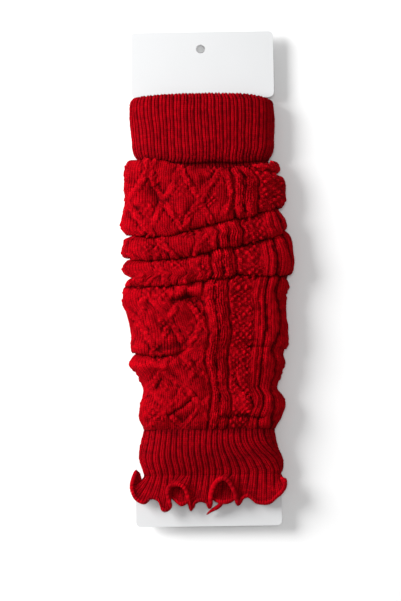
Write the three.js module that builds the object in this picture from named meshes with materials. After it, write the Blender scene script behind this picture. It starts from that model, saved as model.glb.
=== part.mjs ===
// A pair of knitted leg warmers, one pulled over the other, on a flat display card.
// Millimetres. The part lies on its back: +X across it, +Y towards the card's hang hole, +Z up.
// The origin is at the middle of the footprint, on the surface that the part lies on.

import * as THREE from 'three';
import { mergeVertices } from 'three/addons/utils/BufferGeometryUtils.js';

// ---- Driving dimensions -------------------------------------------------------------------

const WALL = 2.0; // thickness of the knitted cloth
const GAP = 0.5; // clearance between two layers that lie on each other
const SEAM_GAP = 0.4; // clearance where two pieces of a tube are joined
const CARD = { width: 110, length: 380, thickness: 0.6, corner: 4 };
const NECK = { width: 76, top: 138, foot: -162.5, corner: 5 }; // the narrow middle of the card
const HANG_HOLE = { radius: 3.5, x: -1.2, y: 176.5 };

const FOLD_PITCH = { front: 3.0, back: 2.4 }; // distance between two layers of a tuck
const LAYER = WALL + GAP; // distance between the middles of two layers that touch
const SIDE_ROUND = 11; // how far a flattened tube takes to turn from its front to its back
const PRESSED_FLAT = 0.35; // cloth as near to the surface as this lies flat on it
const INNER_FULLNESS = 1.5; // the inner leg's hidden tucks, in fold pitches
const SIDE_LAYER = 4.2; // the inner tube is this much narrower at each side than the outer one

// Heights of the middle of each layer above the surface, worked out from the surface upwards.
const OUTER_BACK = 2 * FOLD_PITCH.back + WALL / 2;
const INNER_BACK = OUTER_BACK + LAYER;
const CARD_BOTTOM = INNER_BACK + WALL / 2 + GAP;
const INNER_FRONT = CARD_BOTTOM + CARD.thickness + GAP + WALL / 2;
const OUTER_FRONT = INNER_FRONT + LAYER;

// Where the pieces of the outer tube end, from the card's hole downwards.
const CUFF_TOP = { middle: 141.5, drop: 6.5 }; // the top edge falls away towards both sides
const CUFF_SEAM = 9; // how far below the leg's top roll the cuff ends
const LEG_END = -114;
const RIB_END = -151;

// Lines that cross the leg: height y at five places x, as factors of LINE_REACH.
const LINE_REACH = 60;
const TOP_ROLL = { y: [91, 90, 85.5, 87.5, 89], back: 88 };
// strength is how far the front is folded there: 1 is a whole tuck, 0 is plain cloth.
// back is the line's height in the middle of the back. rollsAbove is how far the cloth
// stands out on its way down to the tuck, in fold pitches, at even steps.
const TUCKS = [
  { y: [32.5, 32, 38.5, 45.5, 51.5], back: 41, depth: 10, strength: [1, 1, 1, 1, 1], rollsAbove: [1.95, 2] },
  { y: [15, 14, 18.5, 25.5, 30], back: 20, depth: 9, strength: [1, 1, 1, 1, 1], rollsAbove: [2] },
  { y: [-6.5, -6.5, -2.5, 0.5, 1], back: -5, depth: 9, strength: [1, 1, 1, 1, 1], rollsAbove: [2] },
  {
    y: [-61, -60, -55, -55, -58],
    back: -57,
    depth: 5,
    strength: [1, 0.8, 0.1, 0.1, 0.5],
    rollsAbove: [1.95, 2, 1.95],
  },
];
const LEG_BELOW_TUCKS = [
  { y: -72, rise: 1.2 },
  { y: -86, rise: 0.7 },
  { y: -99, rise: 1.4 },
  { y: LEG_END + 4, rise: 0.9 },
  { y: LEG_END + 0.6, rise: 0.4 },
  { y: LEG_END, rise: 0 },
];

// The sides of the outer tube, without its tucks: x of the cloth's middle at each height y.
const SIDES = [
  { y: 142, left: -53, right: 50 },
  { y: 126, left: -56.4, right: 53.5 },
  { y: 92, left: -52.1, right: 49.5 },
  { y: 70, left: -55, right: 53 },
  { y: 45, left: -56.5, right: 57 },
  { y: 10, left: -56, right: 60 },
  { y: -17, left: -57, right: 56.5 },
  { y: -42, left: -53.5, right: 56 },
  { y: -62, left: -51.5, right: 53 },
  { y: -86, left: -46.5, right: 51 },
  { y: -100, left: -47.5, right: 53.5 },
  { y: -115, left: -47.5, right: 50 },
  { y: -136, left: -50.5, right: 54 },
  { y: -152, left: -46.8, right: 53 },
  { y: -200, left: -46.8, right: 53 },
];

// Samples round a tube: segments in each quarter turn at a side, and along the front or the back.
const PLAIN = { turn: 3, flat: 9 };
const FLUTED = { turn: 3, flat: 24 };
const FLAT_HEM = { turn: 3, flat: 12 };

// Flutes of the outer hem's front: x, y of the edge, and how far it stands up off the card.
const OUTER_FLUTES = [
  { x: -58, y: -158, lift: 1.5 },
  { x: -54, y: -167, lift: 1.0 },
  { x: -47, y: -171, lift: 1.5 },
  { x: -41.5, y: -168.5, lift: 2.5 },
  { x: -33.5, y: -178, lift: 0.0 },
  { x: -30.5, y: -164, lift: 5.0 },
  { x: -25, y: -157, lift: 8.0 },
  { x: -18.5, y: -160, lift: 6.0 },
  { x: -15, y: -178, lift: 0.0 },
  { x: -5, y: -171, lift: 2.0 },
  { x: 0, y: -176.5, lift: 0.0 },
  { x: 3.5, y: -162, lift: 5.0 },
  { x: 10.5, y: -154.5, lift: 8.0 },
  { x: 17.5, y: -159, lift: 6.0 },
  { x: 22.3, y: -174.5, lift: 0.0 },
  { x: 31, y: -167, lift: 3.0 },
  { x: 43, y: -172.5, lift: 0.5 },
  { x: 55, y: -167, lift: 2.0 },
  { x: 59, y: -158, lift: 2.5 },
];
const INNER_FLUTES = [
  { x: -46, y: -156.5, lift: 0 },
  { x: -40, y: -166, lift: 0 },
  { x: -27, y: -171, lift: 0 },
  { x: -14, y: -168, lift: 0 },
  { x: 0, y: -169, lift: 0 },
  { x: 9, y: -174, lift: 0 },
  { x: 20, y: -169, lift: 0 },
  { x: 34, y: -165, lift: 0 },
  { x: 51, y: -156.5, lift: 0 },
];
const OUTER_BACK_FLUTES = { count: 5, y: -169, reach: 4, lift: 2.4 };
const INNER_BACK_FLUTES = { count: 5, y: -160.5, reach: 2.5, lift: 0 };

// ---- Small helpers ------------------------------------------------------------------------

const mix = (a, b, t) => a + (b - a) * t;
const clamp01 = (t) => Math.min(1, Math.max(0, t));
const smooth = (t) => clamp01(t) ** 2 * (3 - 2 * clamp01(t));

// Reads a table of rows that is sorted by one column, with smooth steps between its rows.
function readTable(rows, key, value, column) {
  const ascending = rows[0][key] < rows[rows.length - 1][key];
  const sorted = ascending ? rows : [...rows].reverse();
  if (value <= sorted[0][key]) return sorted[0][column];
  for (let i = 1; i < sorted.length; i += 1) {
    const [low, high] = [sorted[i - 1], sorted[i]];
    const step = (value - low[key]) / (high[key] - low[key]);
    if (step <= 1) return mix(low[column], high[column], smooth(step));
  }
  return sorted[sorted.length - 1][column];
}

// Reads five values that are spread evenly from one side of the leg to the other.
function acrossLeg(values, x) {
  const place = clamp01((x / LINE_REACH + 1) / 2) * (values.length - 1);
  const index = Math.min(values.length - 2, Math.floor(place));
  return mix(values[index], values[index + 1], smooth(place - index));
}

// ---- The flattened tube -------------------------------------------------------------------

// The places on a flattened section, once round it: a turn at the left, the front, a turn
// at the right, then the same again under the back. t runs from 0 to 1 along each stretch.
function sectionPlaces(samples) {
  const stretch = (turn, count, back) => (
    Array.from({ length: count }, (_, i) => ({ turn, t: i / count, back }))
  );
  const half = (back) => [
    ...stretch(-1, samples.turn, back),
    ...stretch(0, samples.flat, back),
    ...stretch(1, samples.turn, back),
  ];
  return [...half(false), ...half(true)];
}

// The point at one place: x, z, the outward direction, and how much it faces up, 0 to 1.
function sectionPoint(place, section) {
  const { left, right, front, back, round } = section;
  const angle = ((place.turn < 0 ? place.t : 1 - place.t) * Math.PI) / 2;
  const [sideways, upwards] = place.turn === 0 ? [0, 1] : [place.turn * Math.cos(angle), Math.sin(angle)];
  const frontX = {
    '-1': left + round * (1 + sideways),
    0: mix(left + round, right - round, place.t),
    1: right - round * (1 - sideways),
  }[place.turn];
  // The back is walked from right to left, so that the loop goes once round.
  const [x, nx, nz] = place.back ? [left + right - frontX, -sideways, -upwards] : [frontX, sideways, upwards];
  return { x, z: mix(back, front, (nz + 1) / 2), nx, nz, upness: (nz + 1) / 2 };
}

// The section at height y of the outer tube, or of the inner one that lies inside it.
function tubeSection(y, inner) {
  const inset = inner ? SIDE_LAYER : 0;
  return {
    left: readTable(SIDES, 'y', y, 'left') + inset,
    right: readTable(SIDES, 'y', y, 'right') - inset,
    front: inner ? INNER_FRONT : OUTER_FRONT,
    back: inner ? INNER_BACK : OUTER_BACK,
    round: SIDE_ROUND - inset,
  };
}

// Places one point of the cloth: on the tube at height y, moved outwards by rise.
function clothPoint(place, y, rise, inner) {
  const at = sectionPoint(place, tubeSection(y, inner));
  return new THREE.Vector3(at.x + at.nx * rise, y, Math.max(at.z + at.nz * rise, WALL / 2));
}

// Closes a grid of cloth middles, rows down the tube and columns round it, into a wall.
// An end that is sewn to the next piece is cut square to the tube. bunched is how much
// thicker the wall stands at each place, where hidden tucks share one solid.
function wallGeometry({ rows, bunched, squareEnd = true }) {
  const across = rows[0].length;
  const last = rows.length - 1;
  const outside = [];
  const inside = [];
  rows.forEach((row, j) => {
    const [rowAbove, rowBelow] = [rows[Math.max(0, j - 1)], rows[Math.min(last, j + 1)]];
    row.forEach((point, i) => {
      const downwards = rowBelow[i].clone().sub(rowAbove[i]);
      const roundwards = row[(i + 1) % across].clone().sub(row[(i + across - 1) % across]);
      const normal = downwards.cross(roundwards);
      if (j === 0 || (squareEnd && j === last)) normal.y = 0;
      normal.normalize();
      outside.push(point.clone().addScaledVector(normal, WALL / 2 + (bunched ? bunched[j][i] : 0)));
      inside.push(point.clone().addScaledVector(normal, -WALL / 2));
    });
  });
  // What comes this close to the surface is pressed flat on it.
  outside.filter((point) => point.z < PRESSED_FLAT).forEach((point) => point.setZ(0));
  const positions = [...outside, ...inside].flatMap((point) => [point.x, point.y, point.z]);
  const insideStart = outside.length;
  const index = [];
  const quad = (a, b, c, d) => index.push(a, b, c, a, c, d);
  for (let i = 0; i < across; i += 1) {
    const next = (i + 1) % across;
    for (let j = 0; j < last; j += 1) {
      const [a, b] = [j * across + i, (j + 1) * across + i];
      const [d, c] = [j * across + next, (j + 1) * across + next];
      quad(a, b, c, d);
      quad(insideStart + d, insideStart + c, insideStart + b, insideStart + a);
    }
    const end = last * across;
    quad(i, next, insideStart + next, insideStart + i);
    quad(end + next, end + i, insideStart + end + i, insideStart + end + next);
  }
  const geometry = new THREE.BufferGeometry();
  geometry.setAttribute('position', new THREE.Float32BufferAttribute(positions, 3));
  geometry.setIndex(index);
  return geometry;
}

// ---- Lines across the leg -----------------------------------------------------------------

// Height of a line at one place round the tube: its own on the front, level on the back.
function lineHeight(line, x, upness) {
  const front = acrossLeg(line.y, x);
  const [left, right] = [line.y[0], line.y[line.y.length - 1]];
  const ends = mix(left, right, clamp01((x / LINE_REACH + 1) / 2));
  const bow = line.back - (left + right) / 2;
  const back = ends + bow * (1 - (x / LINE_REACH) ** 2);
  return mix(back, front, smooth(upness));
}

function foldPitch(upness) {
  return mix(FOLD_PITCH.back, FOLD_PITCH.front, smooth(upness));
}

// ---- Stations down the leg ----------------------------------------------------------------

// Each station is { y, rise } for one place round the tube.
// The leg's top turns up over the cuff: it starts beside the cuff's end and rolls over.
function topRollStations(x, upness) {
  const top = lineHeight(TOP_ROLL, x, upness);
  const clear = LAYER + 0.6;
  return [
    { y: top - CUFF_SEAM, rise: clear },
    { y: top - 1.5, rise: clear },
    { y: top, rise: clear + 1.3 },
    { y: top - 1.3, rise: clear + 2.6 },
    { y: top - 8, rise: clear + 3.2 },
  ];
}

// A tuck is an S: down on the outside, round its nose, up behind, and down again on the inside.
function tuckStations(tuck, x, upness) {
  const pitch = foldPitch(upness);
  const strength = mix(0.7, acrossLeg(tuck.strength, x), smooth(upness));
  const nose = lineHeight(tuck, x, upness);
  const radius = pitch / 2;
  const folded = [
    { y: nose + radius, rise: 2 * pitch },
    { y: nose, rise: 1.5 * pitch },
    { y: nose + radius, rise: pitch },
    { y: nose + tuck.depth, rise: pitch },
    { y: nose + tuck.depth, rise: 0 },
    { y: nose - 0.5, rise: 0.1 * pitch },
    { y: nose - 3.5, rise: 0.9 * pitch },
  ];
  return folded.map((station, i) => ({
    y: mix(nose + 5 - 1.6 * i, station.y, strength),
    rise: mix(1.3 * pitch, station.rise, strength),
  }));
}

// Plain stretches between two lines: even steps, standing out by the given fold pitches.
function plainStations(from, to, rises, upness) {
  const pitch = foldPitch(upness);
  return rises.map((rise, i) => ({ y: mix(from, to, (i + 1) / (rises.length + 1)), rise: rise * pitch }));
}

function legStations(x, upness) {
  const stations = topRollStations(x, upness);
  TUCKS.forEach((tuck) => {
    const from = stations[stations.length - 1].y;
    stations.push(...plainStations(from, lineHeight(tuck, x, upness), tuck.rollsAbove, upness));
    stations.push(...tuckStations(tuck, x, upness));
  });
  const pitch = foldPitch(upness);
  stations.push(...LEG_BELOW_TUCKS.map(({ y, rise }) => ({ y, rise: rise * pitch })));
  return stations;
}

// ---- Pieces -------------------------------------------------------------------------------

// Turns the stations at each place round the tube into the rows that a wall is made of.
function plainTube(stationsAt, inner) {
  const places = sectionPlaces(PLAIN);
  const columns = places.map((place) => {
    const at = sectionPoint(place, tubeSection(0, inner));
    return stationsAt(at.x, at.upness);
  });
  const rows = columns[0].map((_, j) => columns.map((column, i) => (
    clothPoint(places[i], column[j].y, column[j].rise, inner)
  )));
  const bunched = columns[0].map((_, j) => columns.map((column) => column[j].bunch ?? 0));
  return wallGeometry({ rows, bunched });
}

function topEdge(x) {
  return CUFF_TOP.middle - CUFF_TOP.drop * Math.abs(x / LINE_REACH) ** 3;
}

function cuffGeometry(inner, short) {
  return plainTube((x, upness) => {
    const top = topEdge(x) - short;
    const roll = lineHeight(TOP_ROLL, x, upness);
    return [
      { y: top, rise: 0 },
      { y: mix(top, roll, 0.3), rise: 0 },
      { y: roll, rise: 0 },
      { y: roll - CUFF_SEAM + (inner ? 1.5 * SEAM_GAP : 0), rise: 0 },
    ];
  }, inner);
}

function outerLegGeometry() {
  return plainTube(legStations, false);
}

// The inner leg is pushed up too. Its hidden tucks fill the outer leg's two longest rolls.
function innerLegGeometry() {
  return plainTube((x, upness) => {
    const full = INNER_FULLNESS * foldPitch(upness);
    const top = lineHeight(TOP_ROLL, x, upness) - CUFF_SEAM;
    const [first, , third, fourth] = TUCKS.map((tuck) => lineHeight(tuck, x, upness));
    return [
      { y: top, rise: 0 },
      { y: top - 3, rise: 0 },
      { y: top - 8, rise: 0, bunch: full },
      { y: first + TUCKS[0].depth + 7, rise: 0, bunch: full },
      { y: first + TUCKS[0].depth + 2, rise: 0 },
      { y: third - 4, rise: 0 },
      { y: third - 16, rise: 0, bunch: full },
      { y: fourth + TUCKS[3].depth + 7, rise: 0, bunch: full },
      { y: fourth + TUCKS[3].depth + 2, rise: 0 },
      { y: LEG_END, rise: 0 },
    ];
  }, true);
}

function ankleRibGeometry(inner) {
  const top = LEG_END - SEAM_GAP;
  const swell = inner ? 0 : 0.9;
  return plainTube(() => [
    { y: top, rise: 0 },
    { y: mix(top, RIB_END, 0.2), rise: swell },
    { y: mix(top, RIB_END, 0.75), rise: swell },
    { y: RIB_END, rise: 0 },
  ], inner);
}

// The hem flutes: rows that run from the rib's end to the edge that the table gives.
function ruffleGeometry(flutes, samples, inner) {
  const start = RIB_END - SEAM_GAP;
  const section = tubeSection(start, inner);
  const backFlutes = inner ? INNER_BACK_FLUTES : OUTER_BACK_FLUTES;
  const rows = [0, 0.3, 0.65, 1].map((t) => sectionPlaces(samples).map((place) => {
    const base = sectionPoint(place, section);
    const across = (base.x - section.left) / (section.right - section.left);
    const edgeX = mix(flutes[0].x, flutes[flutes.length - 1].x, across);
    const wave = Math.cos(across * Math.PI * 2 * backFlutes.count);
    const facing = smooth(base.upness);
    const edgeY = mix(backFlutes.y + backFlutes.reach * wave, readTable(flutes, 'x', edgeX, 'y'), facing);
    const lift = mix(-backFlutes.lift * (1 + wave), readTable(flutes, 'x', edgeX, 'lift'), facing);
    return new THREE.Vector3(
      mix(base.x, edgeX, t ** 1.4),
      mix(start, edgeY, t),
      Math.max(base.z + lift * t ** 1.2, WALL / 2),
    );
  }));
  return wallGeometry({ rows, squareEnd: false });
}

function cardGeometry() {
  const half = CARD.width / 2;
  const neck = NECK.width / 2;
  const [top, bottom] = [CARD.length / 2, -CARD.length / 2];
  const corners = [
    [-half, top, CARD.corner], [-half, NECK.top, NECK.corner], [-neck, NECK.top, NECK.corner],
    [-neck, NECK.foot, NECK.corner], [-half, NECK.foot, NECK.corner], [-half, bottom, CARD.corner],
    [half, bottom, CARD.corner], [half, NECK.foot, NECK.corner], [neck, NECK.foot, NECK.corner],
    [neck, NECK.top, NECK.corner], [half, NECK.top, NECK.corner], [half, top, CARD.corner],
  ];
  const shape = new THREE.Shape();
  corners.forEach(([x, y, radius], i) => {
    const corner = new THREE.Vector2(x, y);
    const before = new THREE.Vector2(...corners[(i + corners.length - 1) % corners.length]);
    const after = new THREE.Vector2(...corners[(i + 1) % corners.length]);
    const enter = corner.clone().add(before.sub(corner).setLength(radius));
    const leave = corner.clone().add(after.sub(corner).setLength(radius));
    if (i === 0) shape.moveTo(enter.x, enter.y);
    else shape.lineTo(enter.x, enter.y);
    shape.quadraticCurveTo(corner.x, corner.y, leave.x, leave.y);
  });
  shape.closePath();
  const hole = new THREE.Path();
  hole.absarc(HANG_HOLE.x, HANG_HOLE.y, HANG_HOLE.radius, 0, Math.PI * 2, true);
  shape.holes.push(hole);
  return new THREE.ExtrudeGeometry(shape, { depth: CARD.thickness, bevelEnabled: false, curveSegments: 8 });
}

// ---- Assembly -----------------------------------------------------------------------------

const knit = new THREE.MeshStandardMaterial({ color: 0xb00c22, roughness: 0.95, metalness: 0 });
const board = new THREE.MeshStandardMaterial({ color: 0xf3f4f5, roughness: 0.45, metalness: 0 });

function addPiece(group, name, geometry, material, height = 0) {
  const positionsOnly = geometry.deleteAttribute('normal').deleteAttribute('uv');
  const mesh = new THREE.Mesh(mergeVertices(positionsOnly, 1e-4), material);
  mesh.name = name;
  mesh.position.z = height;
  group.add(mesh);
}

const pair = new THREE.Group();
pair.name = 'leg_warmers_on_card';
addPiece(pair, 'card', cardGeometry(), board, CARD_BOTTOM);
addPiece(pair, 'outer_top_cuff', cuffGeometry(false, 0), knit);
addPiece(pair, 'outer_leg', outerLegGeometry(), knit);
addPiece(pair, 'outer_ankle_rib', ankleRibGeometry(false), knit);
addPiece(pair, 'outer_ruffle', ruffleGeometry(OUTER_FLUTES, FLUTED, false), knit);
addPiece(pair, 'inner_top_cuff', cuffGeometry(true, 2.5), knit);
addPiece(pair, 'inner_leg', innerLegGeometry(), knit);
addPiece(pair, 'inner_ankle_rib', ankleRibGeometry(true), knit);
addPiece(pair, 'inner_ruffle', ruffleGeometry(INNER_FLUTES, FLAT_HEM, true), knit);

const footprint = new THREE.Box3().setFromObject(pair).getCenter(new THREE.Vector3());
pair.position.set(-footprint.x, -footprint.y, 0);

export default pair;
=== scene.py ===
"""A pair of knitted leg warmers, one pulled over the other, on a flat display card.

The part lies on its back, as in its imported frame: +X across it, +Y towards the card's
hang hole, +Z up out of the surface. Every cloth piece is a closed shell of knitting:
a grid of points down and round a flattened tube, moved out along its own normals by
the relief of its stitches. Sizes below are in millimetres until a mesh is made.
"""

from __future__ import annotations

import logging
import math
from dataclasses import dataclass, field
from enum import Enum
from typing import Any, Iterable, Sequence

import bpy
import numpy as np
from mathutils import Matrix, Vector

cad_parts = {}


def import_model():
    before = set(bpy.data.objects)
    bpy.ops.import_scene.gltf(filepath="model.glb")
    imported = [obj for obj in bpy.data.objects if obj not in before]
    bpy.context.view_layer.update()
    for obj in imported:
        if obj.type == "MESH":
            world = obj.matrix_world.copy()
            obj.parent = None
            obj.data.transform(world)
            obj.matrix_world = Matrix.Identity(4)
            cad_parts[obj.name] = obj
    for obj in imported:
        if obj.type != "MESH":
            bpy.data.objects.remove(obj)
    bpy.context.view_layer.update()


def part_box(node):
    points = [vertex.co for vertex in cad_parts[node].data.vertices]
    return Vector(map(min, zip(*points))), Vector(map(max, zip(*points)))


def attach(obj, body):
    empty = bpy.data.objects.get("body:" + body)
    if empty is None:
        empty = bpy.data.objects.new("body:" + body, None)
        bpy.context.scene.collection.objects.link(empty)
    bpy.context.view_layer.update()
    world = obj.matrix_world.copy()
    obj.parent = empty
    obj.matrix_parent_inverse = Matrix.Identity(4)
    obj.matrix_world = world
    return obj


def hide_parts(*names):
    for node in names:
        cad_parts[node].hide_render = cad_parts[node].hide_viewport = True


LOG = logging.getLogger("leg_warmers")
MM = 0.001  # metres in a millimetre
FRAME_WALL = 2.0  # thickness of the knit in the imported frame, in mm

Array = np.ndarray


class Layer(Enum):
    """Which leg warmer of the pair a piece belongs to."""

    OUTER = "outer"
    INNER = "inner"


class Held(Enum):
    """How a flat cut is held in its place."""

    GATHERED = "gathered"
    STRETCHED = "stretched"


# ---- Small helpers ------------------------------------------------------------------------


def mix(a: Any, b: Any, t: Any) -> Any:
    """Returns the value t of the way from a to b."""
    return a + (b - a) * t


def smooth(t: Any) -> Any:
    """Returns t clamped to 0..1 and eased at both ends."""
    clamped = np.clip(t, 0.0, 1.0)
    return clamped * clamped * (3.0 - 2.0 * clamped)


def fade(value: Any, start: float, end: float) -> Any:
    """Returns 0 at start, 1 at end and an eased step between them."""
    return smooth((value - start) / (end - start))


def bell(distance: Any, half_width: float) -> Any:
    """Returns 1 at no distance, and a soft fall to 0 on both sides."""
    return np.exp(-((distance / half_width) ** 2))


def ridge(distance: Any, half_width: Any) -> Any:
    """Returns the full, rounded section of one strand, 1 at its middle and 0 past its edge."""
    return np.clip(1.0 - np.abs(distance / half_width) ** 3, 0.0, 1.0) ** 0.7


def bend(a: Any, b: Any, leave: Any, arrive: Any, t: Any) -> Any:
    """Goes along a smooth bend from one value to another.

    Args:
        a: The value at the start.
        b: The value at the end.
        leave: How fast the bend leaves a, per whole bend.
        arrive: How fast it arrives at b.
        t: How far along to go, 0 to 1.

    Returns:
        The value there.
    """
    return mix(a, b, t * t * (3 - 2 * t)) + t * (1 - t) ** 2 * leave + t * t * (t - 1) * arrive


def read_curve(places: Array, values: Array, slopes: Array, at: Any) -> Array:
    """Reads a curve that passes through points with a slope at each.

    Args:
        places: Where the points are, in rising order.
        values: The curve's value at each of them.
        slopes: How fast it rises there.
        at: Where to read it.

    Returns:
        The curve's values, in the shape of at.
    """
    i = np.clip(np.searchsorted(places, at, side="right") - 1, 0, len(places) - 2)
    gap = places[i + 1] - places[i]
    t = (at - places[i]) / gap
    return bend(values[i], values[i + 1], gap * slopes[i], gap * slopes[i + 1], t)


def curve_through(places: Sequence[float], values: Sequence[float], at: Any) -> Array:
    """Reads a smooth curve that passes through given points and never overshoots them.

    Args:
        places: Where the points are, in rising order.
        values: The curve's value at each of them.
        at: Where to read it; past either end it keeps the end's value.

    Returns:
        The curve's values, in the shape of at.
    """
    x, y = np.asarray(places, float), np.asarray(values, float)
    steepness = np.diff(y) / np.diff(x)
    before, after = steepness[:-1], steepness[1:]
    same_way = before * after > 0
    total = np.where(same_way, before + after, 1.0)
    slopes = np.zeros_like(y)
    slopes[1:-1] = np.where(same_way, 2 * before * after / total, 0.0)
    return read_curve(x, y, slopes, np.clip(np.asarray(at, float), x[0], x[-1]))


def rounded_curve(places: Array, values: Array, at: Array) -> Array:
    """Reads a rounded curve through given points, which may swing past them a little."""
    return read_curve(places, values, np.gradient(values, places), at)


# ---- The flattened tube -------------------------------------------------------------------


@dataclass(frozen=True)
class SideTable:
    """Where the cloth's middle is at each side of the outer tube: rows of height and x."""

    left_side: tuple[tuple[float, float], ...]
    right_side: tuple[tuple[float, float], ...]
    turn: float = 11.0  # how far the flattened tube takes to turn from front to back

    def left(self, y: Any) -> Array:
        """Returns the left side's x at height y."""
        return curve_through(*zip(*self.left_side), y)

    def right(self, y: Any) -> Array:
        """Returns the right side's x at height y."""
        return curve_through(*zip(*self.right_side), y)


SIDES = SideTable(
    left_side=(
        # ankle
        (-152.0, -46.8), (-137.0, -49.2), (-125.0, -47.8), (-115.0, -47.0),
        # lower leg, with the bulge under the fourth tuck
        (-100.0, -47.2), (-88.0, -45.4), (-80.0, -47.6), (-73.0, -49.0), (-65.0, -52.6),
        (-56.0, -51.6), (-45.0, -51.8), (-34.0, -53.4), (-26.0, -54.6), (-20.0, -57.4),
        (-13.0, -58.2), (-6.0, -57.5),
        # the two rolls between the upper tucks
        (-1.6, -56.4), (1.5, -52.6), (5.0, -55.6), (10.0, -56.8), (14.5, -55.6),
        (19.0, -57.6), (26.0, -58.2), (29.0, -58.4), (33.0, -54.4),
        # upper leg
        (37.0, -57.2), (45.0, -57.3), (60.0, -56.6), (70.0, -56.2), (84.0, -54.2),
        # top cuff
        (88.0, -53.4), (93.0, -51.0), (98.0, -51.7), (106.0, -52.4), (115.0, -53.1),
        (129.0, -54.5), (136.0, -54.3), (142.0, -53.0),
    ),
    right_side=(
        # ankle
        (-152.0, 53.0), (-147.0, 54.2), (-140.0, 53.6), (-133.0, 50.6), (-126.0, 49.0),
        (-115.0, 49.6), (-106.0, 51.2),
        # lower leg
        (-100.0, 53.4), (-94.0, 53.4), (-86.0, 50.5), (-75.0, 53.0), (-62.0, 54.4),
        (-42.0, 56.4), (-17.0, 56.2), (-8.0, 57.8),
        # the two rolls between the upper tucks
        (2.0, 61.0), (12.0, 62.0), (24.0, 60.6), (34.5, 58.8), (38.0, 56.6),
        # upper leg
        (45.0, 55.2), (54.0, 54.2), (60.0, 55.8), (71.0, 56.6), (75.0, 55.8), (80.0, 51.8),
        # top cuff
        (84.0, 51.2), (92.0, 49.6), (100.0, 51.3), (108.0, 51.8), (126.0, 52.8),
        (136.0, 52.5), (142.0, 50.0),
    ),
)


@dataclass(frozen=True)
class Loop:
    """Places once round a flattened tube: up the left turn, along the front, down the
    right turn, then back under the tube.

    flat is how far along the flat stretch a place is, nx and nz its outward direction,
    and arc its distance round the tube. arc is 0 where the front's middle line is.
    """

    flat: Array
    nx: Array
    nz: Array
    arc: Array
    girth: float

    LEFT = -52.0  # a section of the leg that stands for all, with its tucks half out
    RIGHT = 54.0
    MIDDLE = 1.0
    TURN_ARC = 17.5
    START = LEFT + SIDES.turn - TURN_ARC  # arc at the middle of the left side
    HALF = RIGHT - LEFT - 2 * SIDES.turn + 2 * TURN_ARC  # distance half round the tube

    @classmethod
    def at(cls, walked: Array) -> "Loop":
        """Makes the loop whose places are this far round from the middle of the left side.

        Args:
            walked: Distances round the tube, in any shape.

        Returns:
            The loop, its arrays in that shape.
        """
        around = np.mod(walked, 2 * cls.HALF)
        under = around >= cls.HALF
        along = np.where(under, around - cls.HALF, around)
        angle_left = np.clip(along / cls.TURN_ARC, 0, 1) * math.pi / 2
        angle_right = np.clip((cls.HALF - along) / cls.TURN_ARC, 0, 1) * math.pi / 2
        flat = np.clip((along - cls.TURN_ARC) / (cls.HALF - 2 * cls.TURN_ARC), 0, 1)
        nx = np.cos(angle_right) - np.cos(angle_left)
        nz = np.minimum(np.sin(angle_left), np.sin(angle_right))
        return cls(
            flat=np.where(under, 1 - flat, flat),
            nx=np.where(under, -nx, nx),
            nz=np.where(under, -nz, nz),
            arc=cls.START + around,
            girth=2 * cls.HALF,
        )

    def turned(self, shift: Array) -> "Loop":
        """Returns the places that lie shift further round, for a grid of shifts."""
        return Loop.at(self.arc - self.START + shift)

    @property
    def upness(self) -> Array:
        """How much each place faces up: 1 on the front, 0 on the back."""
        return (self.nz + 1) / 2

    @property
    def x(self) -> Array:
        """Where each place is across the standing section."""
        return mix(self.LEFT + SIDES.turn, self.RIGHT - SIDES.turn, self.flat) + SIDES.turn * self.nx


@dataclass(frozen=True)
class Columns:
    """How a grid's columns are shared out over the ribs or wales of a tube."""

    half: int  # ribs or wales on the front, and as many again on the back
    front: int  # columns to each of them on the front
    back: int  # and on the back

    def loop(self) -> Loop:
        """Returns the columns, spread evenly along the front and along the back."""
        front = np.arange(self.half * self.front) / (self.half * self.front)
        back = 1 + np.arange(self.half * self.back) / (self.half * self.back)
        return Loop.at(np.concatenate([front, back]) * Loop.HALF)

    def places(self) -> Array:
        """Returns where each column is, counted in ribs or wales, and the first one again."""
        front = np.arange(self.half * self.front) / self.front
        back = self.half + np.arange(self.half * self.back) / self.back
        return np.concatenate([front, back, [2.0 * self.half]])


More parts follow.
